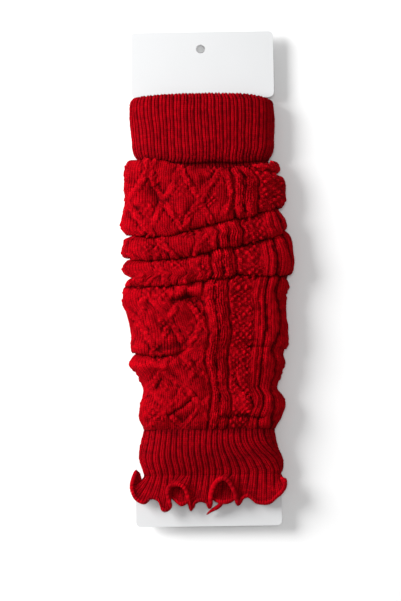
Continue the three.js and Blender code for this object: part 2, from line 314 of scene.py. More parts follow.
@dataclass(frozen=True)
class FlatTube:
    """The tube of one leg warmer, flattened round what lies inside it."""

    layer: Layer
    front: float  # height of the cloth's middle above the surface
    back: float
    centre_x: float  # x of the card's centre line, which every table counts from
    crown: float  # how much the middle of the front swells up

    INNER_SIDE = 4.2  # the inner tube is this much narrower at each side
    FOOT_LINE = -160.0  # the tables' heights are as they look from above, where cloth that
    SETTLED = 0.9907  # stands up looks farther from this line: it lies at this share of that
    CROWNS = {Layer.OUTER: 8.0, Layer.INNER: 3.0}
    CROWN_REACH = 56.0
    CROWN_START = -160.0  # the crown grows between these two heights
    CROWN_FULL = -125.0

    @classmethod
    def from_frame(cls, layer: Layer, wall: float) -> "FlatTube":
        """Reads the layer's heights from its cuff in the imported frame.

        Args:
            layer: The leg warmer.
            wall: Thickness of its cloth in the frame, in mm.

        Returns:
            The tube.
        """
        low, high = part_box(f"{layer.value}_top_cuff")
        card_low, card_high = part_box("card")
        return cls(
            layer=layer,
            front=high[2] / MM - wall / 2,
            back=low[2] / MM + wall / 2,
            centre_x=(card_low[0] + card_high[0]) / 2 / MM,
            crown=cls.CROWNS[layer],
        )

    def points(self, loop: Loop, y: Array, rise: Array, sway: Any = 0.0) -> Array:
        """Places cloth on the tube.

        Args:
            loop: The columns round it.
            y: Height of each point along the leg, rows by columns.
            rise: How far each point stands out from the plain tube.
            sway: How far each point has slid sideways along the front.

        Returns:
            The points, rows by columns by three, in millimetres.
        """
        inset = self.INNER_SIDE if self.layer is Layer.INNER else 0.0
        left, right, turn = SIDES.left(y) + inset, SIDES.right(y) - inset, SIDES.turn - inset
        on_front = np.clip(loop.nz, 0, 1)
        x = mix(left + turn, right - turn, loop.flat) + turn * loop.nx + loop.nx * rise
        x = x + sway * on_front
        swell = np.clip(1 - ((x - loop.MIDDLE) / self.CROWN_REACH) ** 2, 0, None)
        swell = self.crown * swell * on_front * fade(y, self.CROWN_START, self.CROWN_FULL)
        z = mix(self.back, self.front, loop.upness) + loop.nz * rise + swell
        return np.stack([x + self.centre_x, mix(self.FOOT_LINE, y, self.SETTLED), z], axis=-1)


# ---- Lines across the leg and stations down it --------------------------------------------


@dataclass(frozen=True)
class CrossLine:
    """A line from one side of the leg to the other, such as a fold, front and back."""

    front: tuple[tuple[float, float], ...]  # x and y of its points, from left to right
    back: float  # its height in the middle of the back

    REACH = 60.0

    def height(self, loop: Loop) -> Array:
        """Finds how high the line crosses each column.

        Args:
            loop: The columns.

        Returns:
            Its height at each of them.
        """
        xs, ys = zip(*self.front)
        front = curve_through(xs, ys, loop.x)
        place = np.clip((loop.x / self.REACH + 1) / 2, 0, 1)
        ends = mix(ys[0], ys[-1], place)
        bow = self.back - (ys[0] + ys[-1]) / 2
        back = ends + bow * (1 - np.clip(loop.x / self.REACH, -1, 1) ** 2)
        return mix(back, front, smooth(loop.upness))


@dataclass(frozen=True)
class Rows:
    """The rows of a tube's grid: height, rise and shown by row and column, panel by row."""

    y: Array
    rise: Array
    shown: Array
    panel: Array


@dataclass
class Stations:
    """Points down each column of a tube, which a smooth curve then joins.

    Each has a height y, a rise and how much of it shows, for every column, and one number
    for how far down the pattern's panels it is.
    """

    columns: int
    y: list[Array] = field(default_factory=list)
    rise: list[Array] = field(default_factory=list)
    shown: list[Array] = field(default_factory=list)
    panel: list[float] = field(default_factory=list)

    SHORTEST_LEG = 1e-3

    def add(self, y: Any, rise: Any, shown: Any = 1.0, panel: float = 0.0) -> None:
        """Adds one station below the last one.

        Args:
            y: Its height, one for all columns or one for each.
            rise: How far it stands out from the plain tube.
            shown: How much of it can be seen, 0 where another layer covers it; less of it also means painted
                shade in the colour.
            panel: How far down the pattern's panels it is.
        """
        for row, value in ((self.y, y), (self.rise, rise), (self.shown, shown)):
            row.append(np.broadcast_to(np.asarray(value, float), (self.columns,)))
        self.panel.append(panel)

    def rows(self, step: float, hidden_step: float) -> Rows:
        """Samples the smooth curve through the stations.

        Args:
            step: Distance between rows where the cloth shows, in mm.
            hidden_step: The same where another layer covers it.

        Returns:
            The rows.
        """
        points = np.stack([np.stack(self.y), np.stack(self.rise)], axis=-1)
        legs = np.linalg.norm(np.diff(points, axis=0), axis=-1)
        knots = np.sqrt(np.maximum(legs, self.SHORTEST_LEG))[..., None]
        slope = np.diff(points, axis=0) / knots
        inner = (slope[:-1] * knots[1:] + slope[1:] * knots[:-1]) / (knots[:-1] + knots[1:])
        tangent = np.concatenate([slope[:1], inner, slope[-1:]])
        samples: list[Array] = []
        shown: list[Array] = []
        panel: list[float] = []
        for k in range(len(legs)):
            seen = max(self.shown[k].max(), self.shown[k + 1].max()) > 0
            count = max(1, round(float(np.median(legs[k])) / (step if seen else hidden_step)))
            leave, arrive = knots[k] * tangent[k], knots[k] * tangent[k + 1]
            last = k == len(legs) - 1
            for t in np.arange(count + last) / count:
                samples.append(bend(points[k], points[k + 1], leave, arrive, t))
                shown.append(mix(self.shown[k], self.shown[k + 1], t))
                panel.append(mix(self.panel[k], self.panel[k + 1], t))
        grid = np.stack(samples)
        return Rows(grid[..., 0], grid[..., 1], np.stack(shown), np.array(panel)[:, None])


# ---- Cloth shells -------------------------------------------------------------------------


def unit(vectors: Array) -> Array:
    """Returns the vectors with a length of 1."""
    return vectors / np.maximum(np.linalg.norm(vectors, axis=-1, keepdims=True), 1e-9)


def normals_of(middle: Array) -> Array:
    """Finds the outward direction of cloth that is closed round a tube.

    Args:
        middle: The cloth's middle, rows by columns by three.

    Returns:
        A unit vector at each point.
    """
    down = np.gradient(middle, axis=0)
    for end in (0, -1):
        down[end, :, 0] = 0.0
        down[end, :, 2] = 0.0
    across = np.roll(middle, -1, axis=1) - np.roll(middle, 1, axis=1)
    return unit(np.cross(down, across))


def path_down(points: Array) -> Array:
    """Returns how far each point is down its column, measured along the cloth."""
    steps = np.linalg.norm(np.diff(points, axis=0), axis=-1)
    return np.concatenate([np.zeros((1, *points.shape[1:-1])), np.cumsum(steps, axis=0)])


def hollows_of(relief: Array) -> Array:
    """Finds how far each point of a relief lies below the mean of what is round it.

    Args:
        relief: Heights, rows by columns.

    Returns:
        The depths, below 0 on a crest.
    """
    around = relief
    for axis in (0, 1):
        for reach in (1, 2, 4):
            around = (np.roll(around, reach, axis) + around + np.roll(around, -reach, axis)) / 3
    return around - relief


@dataclass
class ClothShell:
    """A closed shell of cloth: rows of points down its outside and up its inside."""

    name: str
    profile: list[Array] = field(default_factory=list)  # each row: columns by three, in mm
    courses: list[Array] = field(default_factory=list)  # each row's place in the stitch rows
    hollow: list[Array] = field(default_factory=list)  # how deep in the relief each point lies, painted as shade, and as a highlight below 0

    WOUND = -1.0  # the place given to rows that are wound with thread instead of knitted

    def add_rows(self, points: Array, courses: Array, hollow: Array | None = None) -> None:
        """Adds rows that follow on from the last one round the cloth's profile.

        Args:
            points: The points, rows by columns by three.
            courses: Each point's place in the rows of stitches.
            hollow: How deep in the relief each point lies, for the painted shade and highlight, or none of
                it.
        """
        self.profile.extend(points)
        self.courses.extend(courses)
        self.hollow.extend(np.zeros_like(courses) if hollow is None else hollow)

    def build(self, wales: Array) -> bpy.types.Object:
        """Makes the mesh.

        Args:
            wales: Where each column is in the columns of stitches, and the first again.

        Returns:
            The new object, linked to the scene.
        """
        grid = np.stack(self.profile)
        grid[..., 2] = np.maximum(grid[..., 2], 0.0)  # nothing goes below the surface
        across, down = grid.shape[1], grid.shape[0]
        row = np.repeat(np.arange(down), across)
        column = np.tile(np.arange(across), down)
        next_row, next_column = (row + 1) % down, (column + 1) % across
        corners = np.stack(
            [
                row * across + column,
                next_row * across + column,
                next_row * across + next_column,
                row * across + next_column,
            ],
            axis=-1,
        )
        u = np.stack([wales[column], wales[column], wales[column + 1], wales[column + 1]], axis=-1)
        v = np.stack(self.courses).reshape(-1)[corners]
        mesh = bpy.data.meshes.new(self.name)
        mesh.vertices.add(down * across)
        mesh.vertices.foreach_set("co", (grid.reshape(-1) * MM).astype(np.float32))
        mesh.loops.add(corners.size)
        mesh.loops.foreach_set("vertex_index", corners.reshape(-1).astype(np.int32))
        mesh.polygons.add(len(corners))
        mesh.polygons.foreach_set("loop_start", np.arange(0, corners.size, 4, dtype=np.int32))
        mesh.polygons.foreach_set("use_smooth", np.ones(len(corners), dtype=bool))
        mesh.update(calc_edges=True)
        mesh.validate()
        stitches = mesh.uv_layers.new(name="stitches")
        stitches.data.foreach_set("uv", np.stack([u, v], axis=-1).reshape(-1).astype(np.float32))
        # the hollow attribute is what the finish paints shade and highlight from
        hollow = mesh.attributes.new("hollow", "FLOAT", "POINT")
        hollow.data.foreach_set("value", np.stack(self.hollow).reshape(-1).astype(np.float32))
        piece = bpy.data.objects.new(self.name, mesh)
        bpy.context.collection.objects.link(piece)
        return piece


# ---- Knitted patterns ---------------------------------------------------------------------


@dataclass(frozen=True)
class Lumps:
    """Slow, soft unevenness of cloth that has been handled, from a few seeded waves."""

    seed: int
    size: float = 1.0  # height of a usual lump, in mm
    waves: int = 9
    shortest: float = 17.0
    longest: float = 60.0

    def height(self, loop: Loop, y: Array) -> Array:
        """Reads the unevenness.

        Args:
            loop: The columns.
            y: Height of each point along the tube.

        Returns:
            A height or a slide at each point, on both sides of 0.
        """
        draw = np.random.default_rng(self.seed)
        total = np.zeros(np.broadcast(loop.arc, y).shape)
        for _ in range(self.waves):
            length = draw.uniform(self.shortest, self.longest)
            turned = draw.uniform(0, math.tau)
            # a whole number of waves goes round, so that the cloth meets itself
            around = round(loop.girth / length * math.cos(turned))
            phase = around * loop.arc / loop.girth + y * math.sin(turned) / length + draw.uniform()
            total = total + np.sin(math.tau * phase)
        return self.size * total / math.sqrt(self.waves)


@dataclass(frozen=True)
class RibPattern:
    """Two-by-two rib: pairs of knit columns with a deep valley between the pairs."""

    valley: float = 1.4  # depth of the gap between two pairs
    furrow: float = 1.05  # depth of the line between the two columns of a pair
    course: float = 1.5
    stands: float = 0.6  # the share of the valley's depth that a pair stands out
    furrow_half: float = 0.2  # in halves of a rib

    WALES = 2.0  # columns of stitches to a rib

    def height(self, place: Array) -> Array:
        """Returns the relief at each place, counted in ribs round the tube."""
        across = np.abs(np.mod(place, 1.0) - 0.5) * 2  # 0 in a pair's middle, 1 in the valley
        return self.valley * (self.stands - across**3.0) - self.furrow * bell(across, self.furrow_half)


@dataclass(frozen=True)
class PanelSet:
    """How the pattern lies on one stretch of cloth between two folds."""

    shift: float  # how far the cloth is twisted to the right
    lattice_x: float  # a crossing of the lattice's bands, across and along
    lattice_y: float
    lattice_width: float  # distance between two crossings, across and along
    lattice_height: float
    lean: float = 0.0  # how much the bands above the next crossing lean over to the right
    bands: float = 1.0  # how clearly the bands stand out

    LEAN_REACH = 0.4  # the lean sets in over this share of the lattice's width

    def from_band(self, u: Array, v: Array) -> Array:
        """Finds the nearest band of the lattice.

        Args:
            u: Place across the pattern.
            v: Height along the leg.

        Returns:
            How far each point is from the band's middle.
        """
        next_crossing = self.lattice_x + self.lattice_width
        past = fade(u, next_crossing, next_crossing + self.LEAN_REACH * self.lattice_width)
        u = u - self.lean * past * np.clip(v - self.lattice_y, 0, None)
        across = (u - self.lattice_x) / self.lattice_width
        along = (v - self.lattice_y) / self.lattice_height
        spread = 1 / math.hypot(1 / self.lattice_width, 1 / self.lattice_height)
        rising = np.abs(np.mod(across + along + 0.5, 1.0) - 0.5) * spread
        falling = np.abs(np.mod(across - along + 0.5, 1.0) - 0.5) * spread
        return np.minimum(rising, falling)


@dataclass(frozen=True)
class Blotches:
    """Soft blotches where two slanted waves meet, for stitches that are worn unevenly."""

    first: tuple[float, float, float]  # mm to a radian across and along, and its start
    second: tuple[float, float, float]
    middle: float = 0.0
    swing: float = 1.0
    least: float = -1.0
    most: float = 1.0

    def strength(self, u: Array, v: Array) -> Array:
        """Returns the strength of the blotches at each point, from least to most."""
        waves = [np.sin(u / across + v / along + start) for across, along, start in (self.first, self.second)]
        return np.clip(self.middle + self.swing * waves[0] * waves[1], self.least, self.most)


@dataclass(frozen=True)
class MossStitch:
    """A checkerboard of single bumps, no two of a size."""

    width: float = 2.5  # of one bump
    height: float = 2.2
    depth: float = 2.1
    smallest: float = 0.3
    largest: float = 1.35
    roundness: float = 0.6

    SEED = 5
    REPEAT = (97, 193)  # bumps before the sizes come again, across and along

    def relief(self, u: Array, v: Array) -> Array:
        """Finds the height of the bumps.

        Args:
            u: Place across the pattern.
            v: Height along the leg.

        Returns:
            The relief, half of it below the cloth.
        """
        across, down = u / self.width, v / self.height
        board = np.clip(np.sin(math.pi * across) * np.sin(math.pi * down), 0, 1)
        sizes = np.random.default_rng(self.SEED).uniform(self.smallest, self.largest, self.REPEAT)
        which = (np.floor(across).astype(int) % self.REPEAT[0], np.floor(down).astype(int) % self.REPEAT[1])
        return (2 * sizes[which] * board**self.roundness - 1) * self.depth / 2


@dataclass(frozen=True)
class Lattice:
    """Bands of moss stitch that cross each other on plain cloth."""

    half: float = 2.3  # half a band's width
    rise: float = 1.1
    slope: tuple[float, float] = (-1.1, 0.3)  # a band's side, before and past its edge
    line_depth: float = 1.5  # the line along each side of a band
    line_out: float = 0.5
    line_half: float = 0.8
    dome: float = 0.35  # how much the plain cloth between two bands swells
    dome_slope: tuple[float, float] = (0.5, 6.0)
    side: tuple[float, float] = (-0.6, -2.2)  # where the lattice ends beside the chain
    patch_side: tuple[float, float] = (-2.0, -4.0)
    patch_edge: tuple[float, float] = (0.25, 0.6)
    patch_strength: float = 0.8
    wear: Blotches = Blotches((4.1, 7.3, 1.0), (-8.7, 5.9, 0.0), 0.8, 0.55, 0.38, 1.0)
    breaks: Blotches = Blotches((1 / 1.9, 1 / 0.7, 0.0), (-1 / 0.9, 1 / 1.3, 0.0), 0.6, 0.5, 0.0, 1.0)
    patches: Blotches = Blotches((5.1, 9.7, 2.0), (-11.3, 6.7, 1.0))

    def lay(self, u: Array, v: Array, panel: PanelSet) -> tuple[Array, Array]:
        """Lays the lattice over one panel.

        Args:
            u: Place across the pattern.
            v: Height along the leg.
            panel: How the lattice lies there.

        Returns:
            How much of each point is moss stitch, and the lattice's own relief.
        """
        inside = panel.bands * fade(u, *self.side) * self.wear.strength(u, v)
        from_edge = panel.from_band(u, v) - self.half
        band = (1 - fade(from_edge, *self.slope)) * inside
        line = bell(from_edge - self.line_out, self.line_half) * inside * self.breaks.strength(u, v)
        swell = fade(from_edge, *self.dome_slope) * inside
        patch = fade(self.patches.strength(u, v), *self.patch_edge) * fade(u, *self.patch_side)
        relief = band * self.rise - line * self.line_depth + swell * self.dome
        return np.maximum(band, self.patch_strength * patch), relief


@dataclass(frozen=True)
class ChainCable:
    """A hollow chain: two strands that part round a laddered slit and meet in a knot."""

    x: float = 7.4
    link: float = 24.0  # length of one link
    start: float = 8.5
    met: float = 2.4  # a strand's distance from the middle at a knot
    parted: float = 3.7  # and beside a slit
    parting: float = 0.4  # how slowly the strands part after a knot
    strand_half: float = 2.4
    strand_rise: float = 0.5
    knot_half: float = 3.2
    knot_rise: float = 0.9
    slit_half: float = 1.0
    slit_depth: float = 1.9
    rung_left: float = 0.1  # the share of the slit's depth that is left at a rung
    rungs: int = 2  # to one link
    wale: float = 1.65  # width of a column of stitches
    wale_rise: float = 0.7
    wales_end: tuple[float, float] = (5.6, 6.6)

    def height(self, u: Array, v: Array) -> Array:
        """Finds the relief of the cable.

        Args:
            u: Place across the pattern.
            v: Height along the leg.

        Returns:
            The relief, 0 away from the cable.
        """
        link = np.mod((v + self.start) / self.link, 1.0)
        open_part = np.sin(math.pi * link) ** self.parting
        from_middle = np.abs(u - self.x)
        strands = ridge(from_middle - mix(self.met, self.parted, open_part), self.strand_half)
        knot = (1 - open_part) * bell(from_middle, self.knot_half)
        ladder = mix(self.rung_left, 1.0, (1 + np.cos(math.tau * self.rungs * link)) / 2)
        slit = open_part * ladder * bell(from_middle, self.slit_half)
        wales = np.cos(math.tau * (u - self.x) / self.wale) * (1 - fade(from_middle, *self.wales_end))
        raised = self.strand_rise * strands + self.knot_rise * knot + self.wale_rise * wales
        return raised - self.slit_depth * slit


@dataclass(frozen=True)
class Groove:
    """A dark line between two columns of the pattern."""

    x: float
    depth: float
    half_width: float

    def height(self, u: Array) -> Array:
        """Returns the groove's relief at each place across the pattern."""
        return -self.depth * bell(u - self.x, self.half_width)


@dataclass(frozen=True)
class CablePattern:
    """Columns of a traditional cable jumper: a lattice of moss stitch, a hollow chain
    cable, a moss panel, two plain ribs and a waving strand, twice round the leg."""

    course: float = 1.45
    wale_depth: float = 0.85
    lattice: Lattice = Lattice()
    chain: ChainCable = ChainCable()
    moss_stitch: MossStitch = MossStitch()
    moss_rise: float = 0.45  # how much higher moss stitch lies than plain cloth
    moss_panel: tuple[float, float] = (17.3, 33.6)
    moss_side: float = 1.2
    plain_ribs: tuple[float, float] = (36.2, 39.8)
    rib_rise: float = 0.75
    rib_half: float = 1.5
    grooves: tuple[Groove, ...] = (Groove(-0.3, 2.0, 1.2), Groove(16.4, 1.7, 1.0), Groove(42.2, 1.2, 0.9))
    wave_x: float = 45.6
    wave_reach: float = 1.5
    wave_length: float = 44.0
    wave_half: float = 2.6
    wave_groove: Groove = Groove(4.2, 1.5, 1.0)  # its x is counted from the strand

    WALES = 1.0  # columns of stitches to a place

    def height(self, u: Array, v: Array, girth: float, panel: PanelSet, wales: Array) -> Array:
        """Finds the relief of the whole pattern on one panel.

        Args:
            u: Distance round the tube, as the panel's cloth lies.
            v: Height along the leg.
            girth: Distance once round.
            panel: How the pattern lies there.
            wales: Where each column of the grid is, counted in columns of stitches.

        Returns:
            The relief in millimetres at each point.
        """
        half = girth / 2
        start = half / 2 + panel.shift  # each repeat ends at a side of the leg
        column = np.mod(u + start, half) - start
        plain = self.wale_depth * (0.5 - (np.abs(np.mod(wales, 1.0) - 0.5) * 2) ** 2)
        bands, relief = self.lattice.lay(column, v, panel)
        left, right = self.moss_panel
        moss = fade(column, left, left + self.moss_side) * fade(column, right, right - self.moss_side)
        beaded = np.maximum(bands, moss)
        relief = relief + self.moss_rise * beaded
        relief = relief + mix(plain, self.moss_stitch.relief(column, v), beaded)
        relief = relief + self.chain.height(column, v)
        wave = self.wave_x + self.wave_reach * np.sin(math.tau * v / self.wave_length)
        for rib in self.plain_ribs:
            relief = relief + self.rib_rise * ridge(column - rib, self.rib_half)
        relief = relief + self.rib_rise * ridge(column - wave, self.wave_half)
        for groove in self.grooves:
            relief = relief + groove.height(column)
        return relief + self.wave_groove.height(column - wave)


# ---- Finishes -----------------------------------------------------------------------------


def linear(hex_colour: str) -> tuple[float, float, float, float]:
    """Turns an sRGB hex colour into the linear colour that a shader takes.

    Args:
        hex_colour: Six hex digits.

    Returns:
        Red, green, blue and an alpha of 1.
    """
    channels = [int(hex_colour[i : i + 2], 16) / 255 for i in (0, 2, 4)]
    red, green, blue = (c / 12.92 if c <= 0.04045 else ((c + 0.055) / 1.055) ** 2.4 for c in channels)
    return red, green, blue, 1.0


def add_node(
    tree: bpy.types.NodeTree,
    kind: str,
    inputs: dict[Any, Any] | None = None,
    **settings: Any,
) -> bpy.types.Node:
    """Adds one node to a tree.

    Args:
        tree: The material's node tree.
        kind: The node's type name, without the ShaderNode in front.
        inputs: For each input's name or number, a value to set or a socket to link from.
        settings: The node's own settings.

    Returns:
        The new node.
    """
    node = tree.nodes.new(f"ShaderNode{kind}")
    for name, value in settings.items():
        setattr(node, name, value)
    for key, value in (inputs or {}).items():
        if isinstance(value, bpy.types.NodeSocket):
            tree.links.new(value, node.inputs[key])
        else:
            node.inputs[key].default_value = value
    return node


def new_material(name: str) -> tuple[bpy.types.Material, bpy.types.NodeTree]:
    """Makes an empty node material.

    Args:
        name: The material's name.

    Returns:
        The material and its tree.
    """
    material = bpy.data.materials.new(name)
    material.use_nodes = True
    material.node_tree.nodes.clear()
    return material, material.node_tree


@dataclass(frozen=True)
class WoolBlendKnit:
    """Wool-like acrylic yarn, spun thick and knitted by machine, in a deep warm red.

    The eye sees matt, slightly hairy V stitches in upright columns and a faint mottling where the dye took
    unevenly.
    The gaps between the stitches and the hollows of the relief get painted shade, and its crests a painted
    highlight.
    """

    name: str = "wool_blend_knit"
    lit_yarn: str = "C20011"
    mid_yarn: str = "82000A"
    # painted highlight: the colour that the highest stitches brighten towards
    painted_highlight_yarn: str = "EC061C"
    # painted shade: the colour that the gaps between stitches and the insides of folds darken towards
    gap: str = "360003"
    fibre_sheen: str = "F00028"
    stitch_depth: float = 1.2  # mm
    fuzz_depth: float = 0.35
    fuzz_scale: float = 0.9  # mm across one fibre tuft, drawn coarse so that it shows
    mottle_scale: float = 6.0  # mm across one patch of dye
    each_share: float = 0.6  # how much of the yarn's colour goes by stitch, the rest by patch
    painted_highlight_share: float = 0.45  # painted highlight: how much of the highlight colour the highest stitches take
    painted_gap_shade: float = 0.36  # painted shade: how light a gap between two stitches stays
    painted_pit_shade: float = 0.16  # painted shade: and the bottom of a fold
    highlight_height: float = 1.1  # mm above what is round it, where the painted highlight is full
    pit_top: float = 0.1  # mm below it
    pit_bottom: float = 1.1

    # From the UV map's wale and course, each row makes one value with a Math operation on
    # numbers and earlier values. Half a V is a strand that leans up and outwards from the
    # middle of its wale, and a bead is one stitch of it. Wound thread shows no stitches.
    # the stitch value drives both the bump and the painted shade in the gaps between stitches
    STITCH_STEPS = (
        ("in_wale", "FRACT", "wale"),
        ("off_middle", "SUBTRACT", "in_wale", 0.5),
        ("from_middle", "ABSOLUTE", "off_middle"),
        ("off_strand", "SUBTRACT", "from_middle", 0.25),
        ("from_strand", "ABSOLUTE", "off_strand"),
        ("strand_side", "MULTIPLY", "from_strand", 4.0),
        ("strand_fall", "POWER", "strand_side", 2.0),
        ("strand", "SUBTRACT", 1.0, "strand_fall"),
        ("lean", "MULTIPLY", "from_middle", 1.3),
        ("leaning", "ADD", "course", "lean"),
        ("in_stitch", "FRACT", "leaning"),
        ("off_bead", "SUBTRACT", "in_stitch", 0.5),
        ("from_bead", "ABSOLUTE", "off_bead"),
        ("bead_side", "MULTIPLY", "from_bead", 2.0),
        ("bead_fall", "POWER", "bead_side", 3.0),
        ("bead", "SUBTRACT", 1.0, "bead_fall"),
        ("knitted", "MULTIPLY", "strand", "bead"),
        ("is_wound", "LESS_THAN", "course", ClothShell.WOUND / 2),
        ("wound", "MULTIPLY", "is_wound", 0.36),
        ("stitch", "MAXIMUM", "knitted", "wound"),
        ("wale_number", "FLOOR", "wale"),
        ("stitch_number", "FLOOR", "leaning"),
    )

    def stitches(self, tree: bpy.types.NodeTree) -> dict[str, bpy.types.NodeSocket]:
        """Adds the nodes that draw the stitches.

        Args:
            tree: The material's tree.

        Returns:
            Each step's value by its name.
        """
        place = add_node(tree, "SeparateXYZ", {0: add_node(tree, "UVMap", uv_map="stitches").outputs[0]})
        made: dict[Any, bpy.types.NodeSocket] = {"wale": place.outputs[0], "course": place.outputs[1]}
        for name, operation, *values in self.STITCH_STEPS:
            inputs = {number: made.get(value, value) for number, value in enumerate(values)}
            made[name] = add_node(tree, "Math", inputs, operation=operation).outputs[0]
        return made

    def yarn(self, tree: bpy.types.NodeTree, made: dict[str, bpy.types.NodeSocket]) -> bpy.types.NodeSocket:
        """Adds the nodes that colour the yarn, with painted shade in its gaps and hollows and a painted
        highlight on its crests.

        Args:
            tree: The material's tree.
            made: The stitches' values.

        Returns:
            The colour of the cloth at each place.
        """
        place = add_node(tree, "TexCoord").outputs["Object"]
        dye_scale = 1 / (self.mottle_scale * MM)
        mottle = add_node(tree, "TexNoise", {"Vector": place, "Scale": dye_scale, "Detail": 2.0})
        cell = add_node(tree, "CombineXYZ", {0: made["wale_number"], 1: made["stitch_number"]})
        each = add_node(tree, "TexWhiteNoise", {"Vector": cell.outputs[0]}, noise_dimensions="2D")
        patch = add_node(tree, "MapRange", {0: mottle.outputs[0], 1: 0.35, 2: 0.65})
        paler = add_node(
            tree, "Mix", {0: 1 - self.each_share, 2: each.outputs[0], 3: patch.outputs[0]}, data_type="FLOAT"
        )
        yarn = add_node(
            tree,
            "Mix",
            {0: paler.outputs[0], 6: linear(self.mid_yarn), 7: linear(self.lit_yarn)},
            data_type="RGBA",
        )
        # the hollow attribute: painted shade in hollows and folds, painted highlight on crests
        depth = add_node(tree, "Attribute", attribute_name="hollow").outputs["Fac"]
        # painted highlight on the crests of the relief
        crest = add_node(tree, "MapRange", {0: depth, 2: -self.highlight_height, 4: self.painted_highlight_share})
        highlighted = add_node(
            tree,
            "Mix",
            {0: crest.outputs[0], 6: yarn.outputs[2], 7: linear(self.painted_highlight_yarn)},
            data_type="RGBA",
        )
        # painted shade in the hollows of the relief and inside folds
        pit_shade = add_node(
            tree, "MapRange", {0: depth, 1: self.pit_top, 2: self.pit_bottom, 3: 1.0, 4: self.painted_pit_shade}
        )
        # painted shade in the gaps between stitches
        stitch_shade = add_node(tree, "MapRange", {0: made["stitch"], 2: 0.5, 3: self.painted_gap_shade})
        light = add_node(tree, "Math", {0: stitch_shade.outputs[0], 1: pit_shade.outputs[0]}, operation="MULTIPLY")
        # mixes from the painted shade colour to the yarn, by how much painted shade lies there
        colour = add_node(
            tree,
            "Mix",
            {0: light.outputs[0], 6: linear(self.gap), 7: highlighted.outputs[2]},
            data_type="RGBA",
        )
        return colour.outputs[2]

    def build(self) -> bpy.types.Material:
        """Returns the knitted material, which reads the stitches UV map."""
        material, tree = new_material(self.name)
        made = self.stitches(tree)
        place = add_node(tree, "TexCoord").outputs["Object"]
        tuft_scale = 1 / (self.fuzz_scale * MM)
        fuzz = add_node(tree, "TexNoise", {"Vector": place, "Scale": tuft_scale, "Detail": 3.0})
        knit_bump = add_node(
            tree,
            "Bump",
            {"Strength": 0.6, "Distance": self.stitch_depth * MM, "Height": made["stitch"]},
        )
        bump = add_node(
            tree,
            "Bump",
            {
                "Strength": 0.7,
                "Distance": self.fuzz_depth * MM,
                "Height": fuzz.outputs[0],
                "Normal": knit_bump.outputs[0],
            },
        )
        shader = add_node(
            tree,
            "BsdfPrincipled",
            {
                "Base Color": self.yarn(tree, made),
                "Roughness": 0.92,
                "Specular IOR Level": 0.03,
                "Sheen Weight": 0.06,
                "Sheen Roughness": 0.45,
                "Sheen Tint": linear(self.fibre_sheen),
                "Normal": bump.outputs[0],
            },
        )
        add_node(tree, "OutputMaterial", {0: shader.outputs[0]})
        return material


@dataclass(frozen=True)
class CoatedBoard:
    """White solid bleached board with a smooth clay coating, cut by a die.

    The eye sees a clean cool white with a soft satin gloss, barely mottled by the fibres
    under the coating, and a slightly greyer uncoated cut edge.
    """

    coating: str = "D0D1D2"
    thin_coating: str = "CDCECF"
    cut_edge: str = "CFCCC6"
    fibre_scale: float = 1.6  # mm
    fibre_depth: float = 0.02
    cloud_scale: float = 30.0  # mm across one patch of thinner coating

    def build(self) -> bpy.types.Material:
        """Returns the board material, which reads Object coordinates and the face's normal."""
        material, tree = new_material("coated_board")
        place = add_node(tree, "TexCoord").outputs["Object"]
        fibre, cloud = (
            add_node(tree, "TexNoise", {"Vector": place, "Scale": 1 / (scale * MM), "Detail": detail})
            for scale, detail in ((self.fibre_scale, 4.0), (self.cloud_scale, 2.0))
        )
        face = add_node(
            tree,
            "Mix",
            {0: cloud.outputs[0], 6: linear(self.thin_coating), 7: linear(self.coating)},
            data_type="RGBA",
        )
        normal = add_node(tree, "SeparateXYZ", {0: add_node(tree, "NewGeometry").outputs["True Normal"]})
        upright = add_node(tree, "Math", {0: normal.outputs[2]}, operation="ABSOLUTE")
        flat = add_node(tree, "Math", {0: upright.outputs[0], 1: 0.5}, operation="GREATER_THAN")
        colour = add_node(
            tree,
            "Mix",
            {0: flat.outputs[0], 6: linear(self.cut_edge), 7: face.outputs[2]},
            data_type="RGBA",
        )
        bump = add_node(
            tree, "Bump", {"Strength": 0.25, "Distance": self.fibre_depth * MM, "Height": fibre.outputs[0]}
        )
        gloss = add_node(tree, "MapRange", {0: fibre.outputs[0], 3: 0.42, 4: 0.52})
        shader = add_node(
            tree,
            "BsdfPrincipled",
            {"Base Color": colour.outputs[2], "Roughness": gloss.outputs[0], "Normal": bump.outputs[0]},
        )
        add_node(tree, "OutputMaterial", {0: shader.outputs[0]})
        return material


@dataclass(frozen=True)
class MattTable:
    """A plain matt white table top, bright enough to read as a seamless background."""

    paint: str = "FBFBFB"

    def build(self) -> bpy.types.Material:
        """Returns the table's material."""
        material, tree = new_material("matt_table")
        shader = add_node(
            tree,
            "BsdfPrincipled",
            {"Base Color": linear(self.paint), "Roughness": 0.9, "Specular IOR Level": 0.2},
        )
        add_node(tree, "OutputMaterial", {0: shader.outputs[0]})
        return material


# ---- Pieces -------------------------------------------------------------------------------


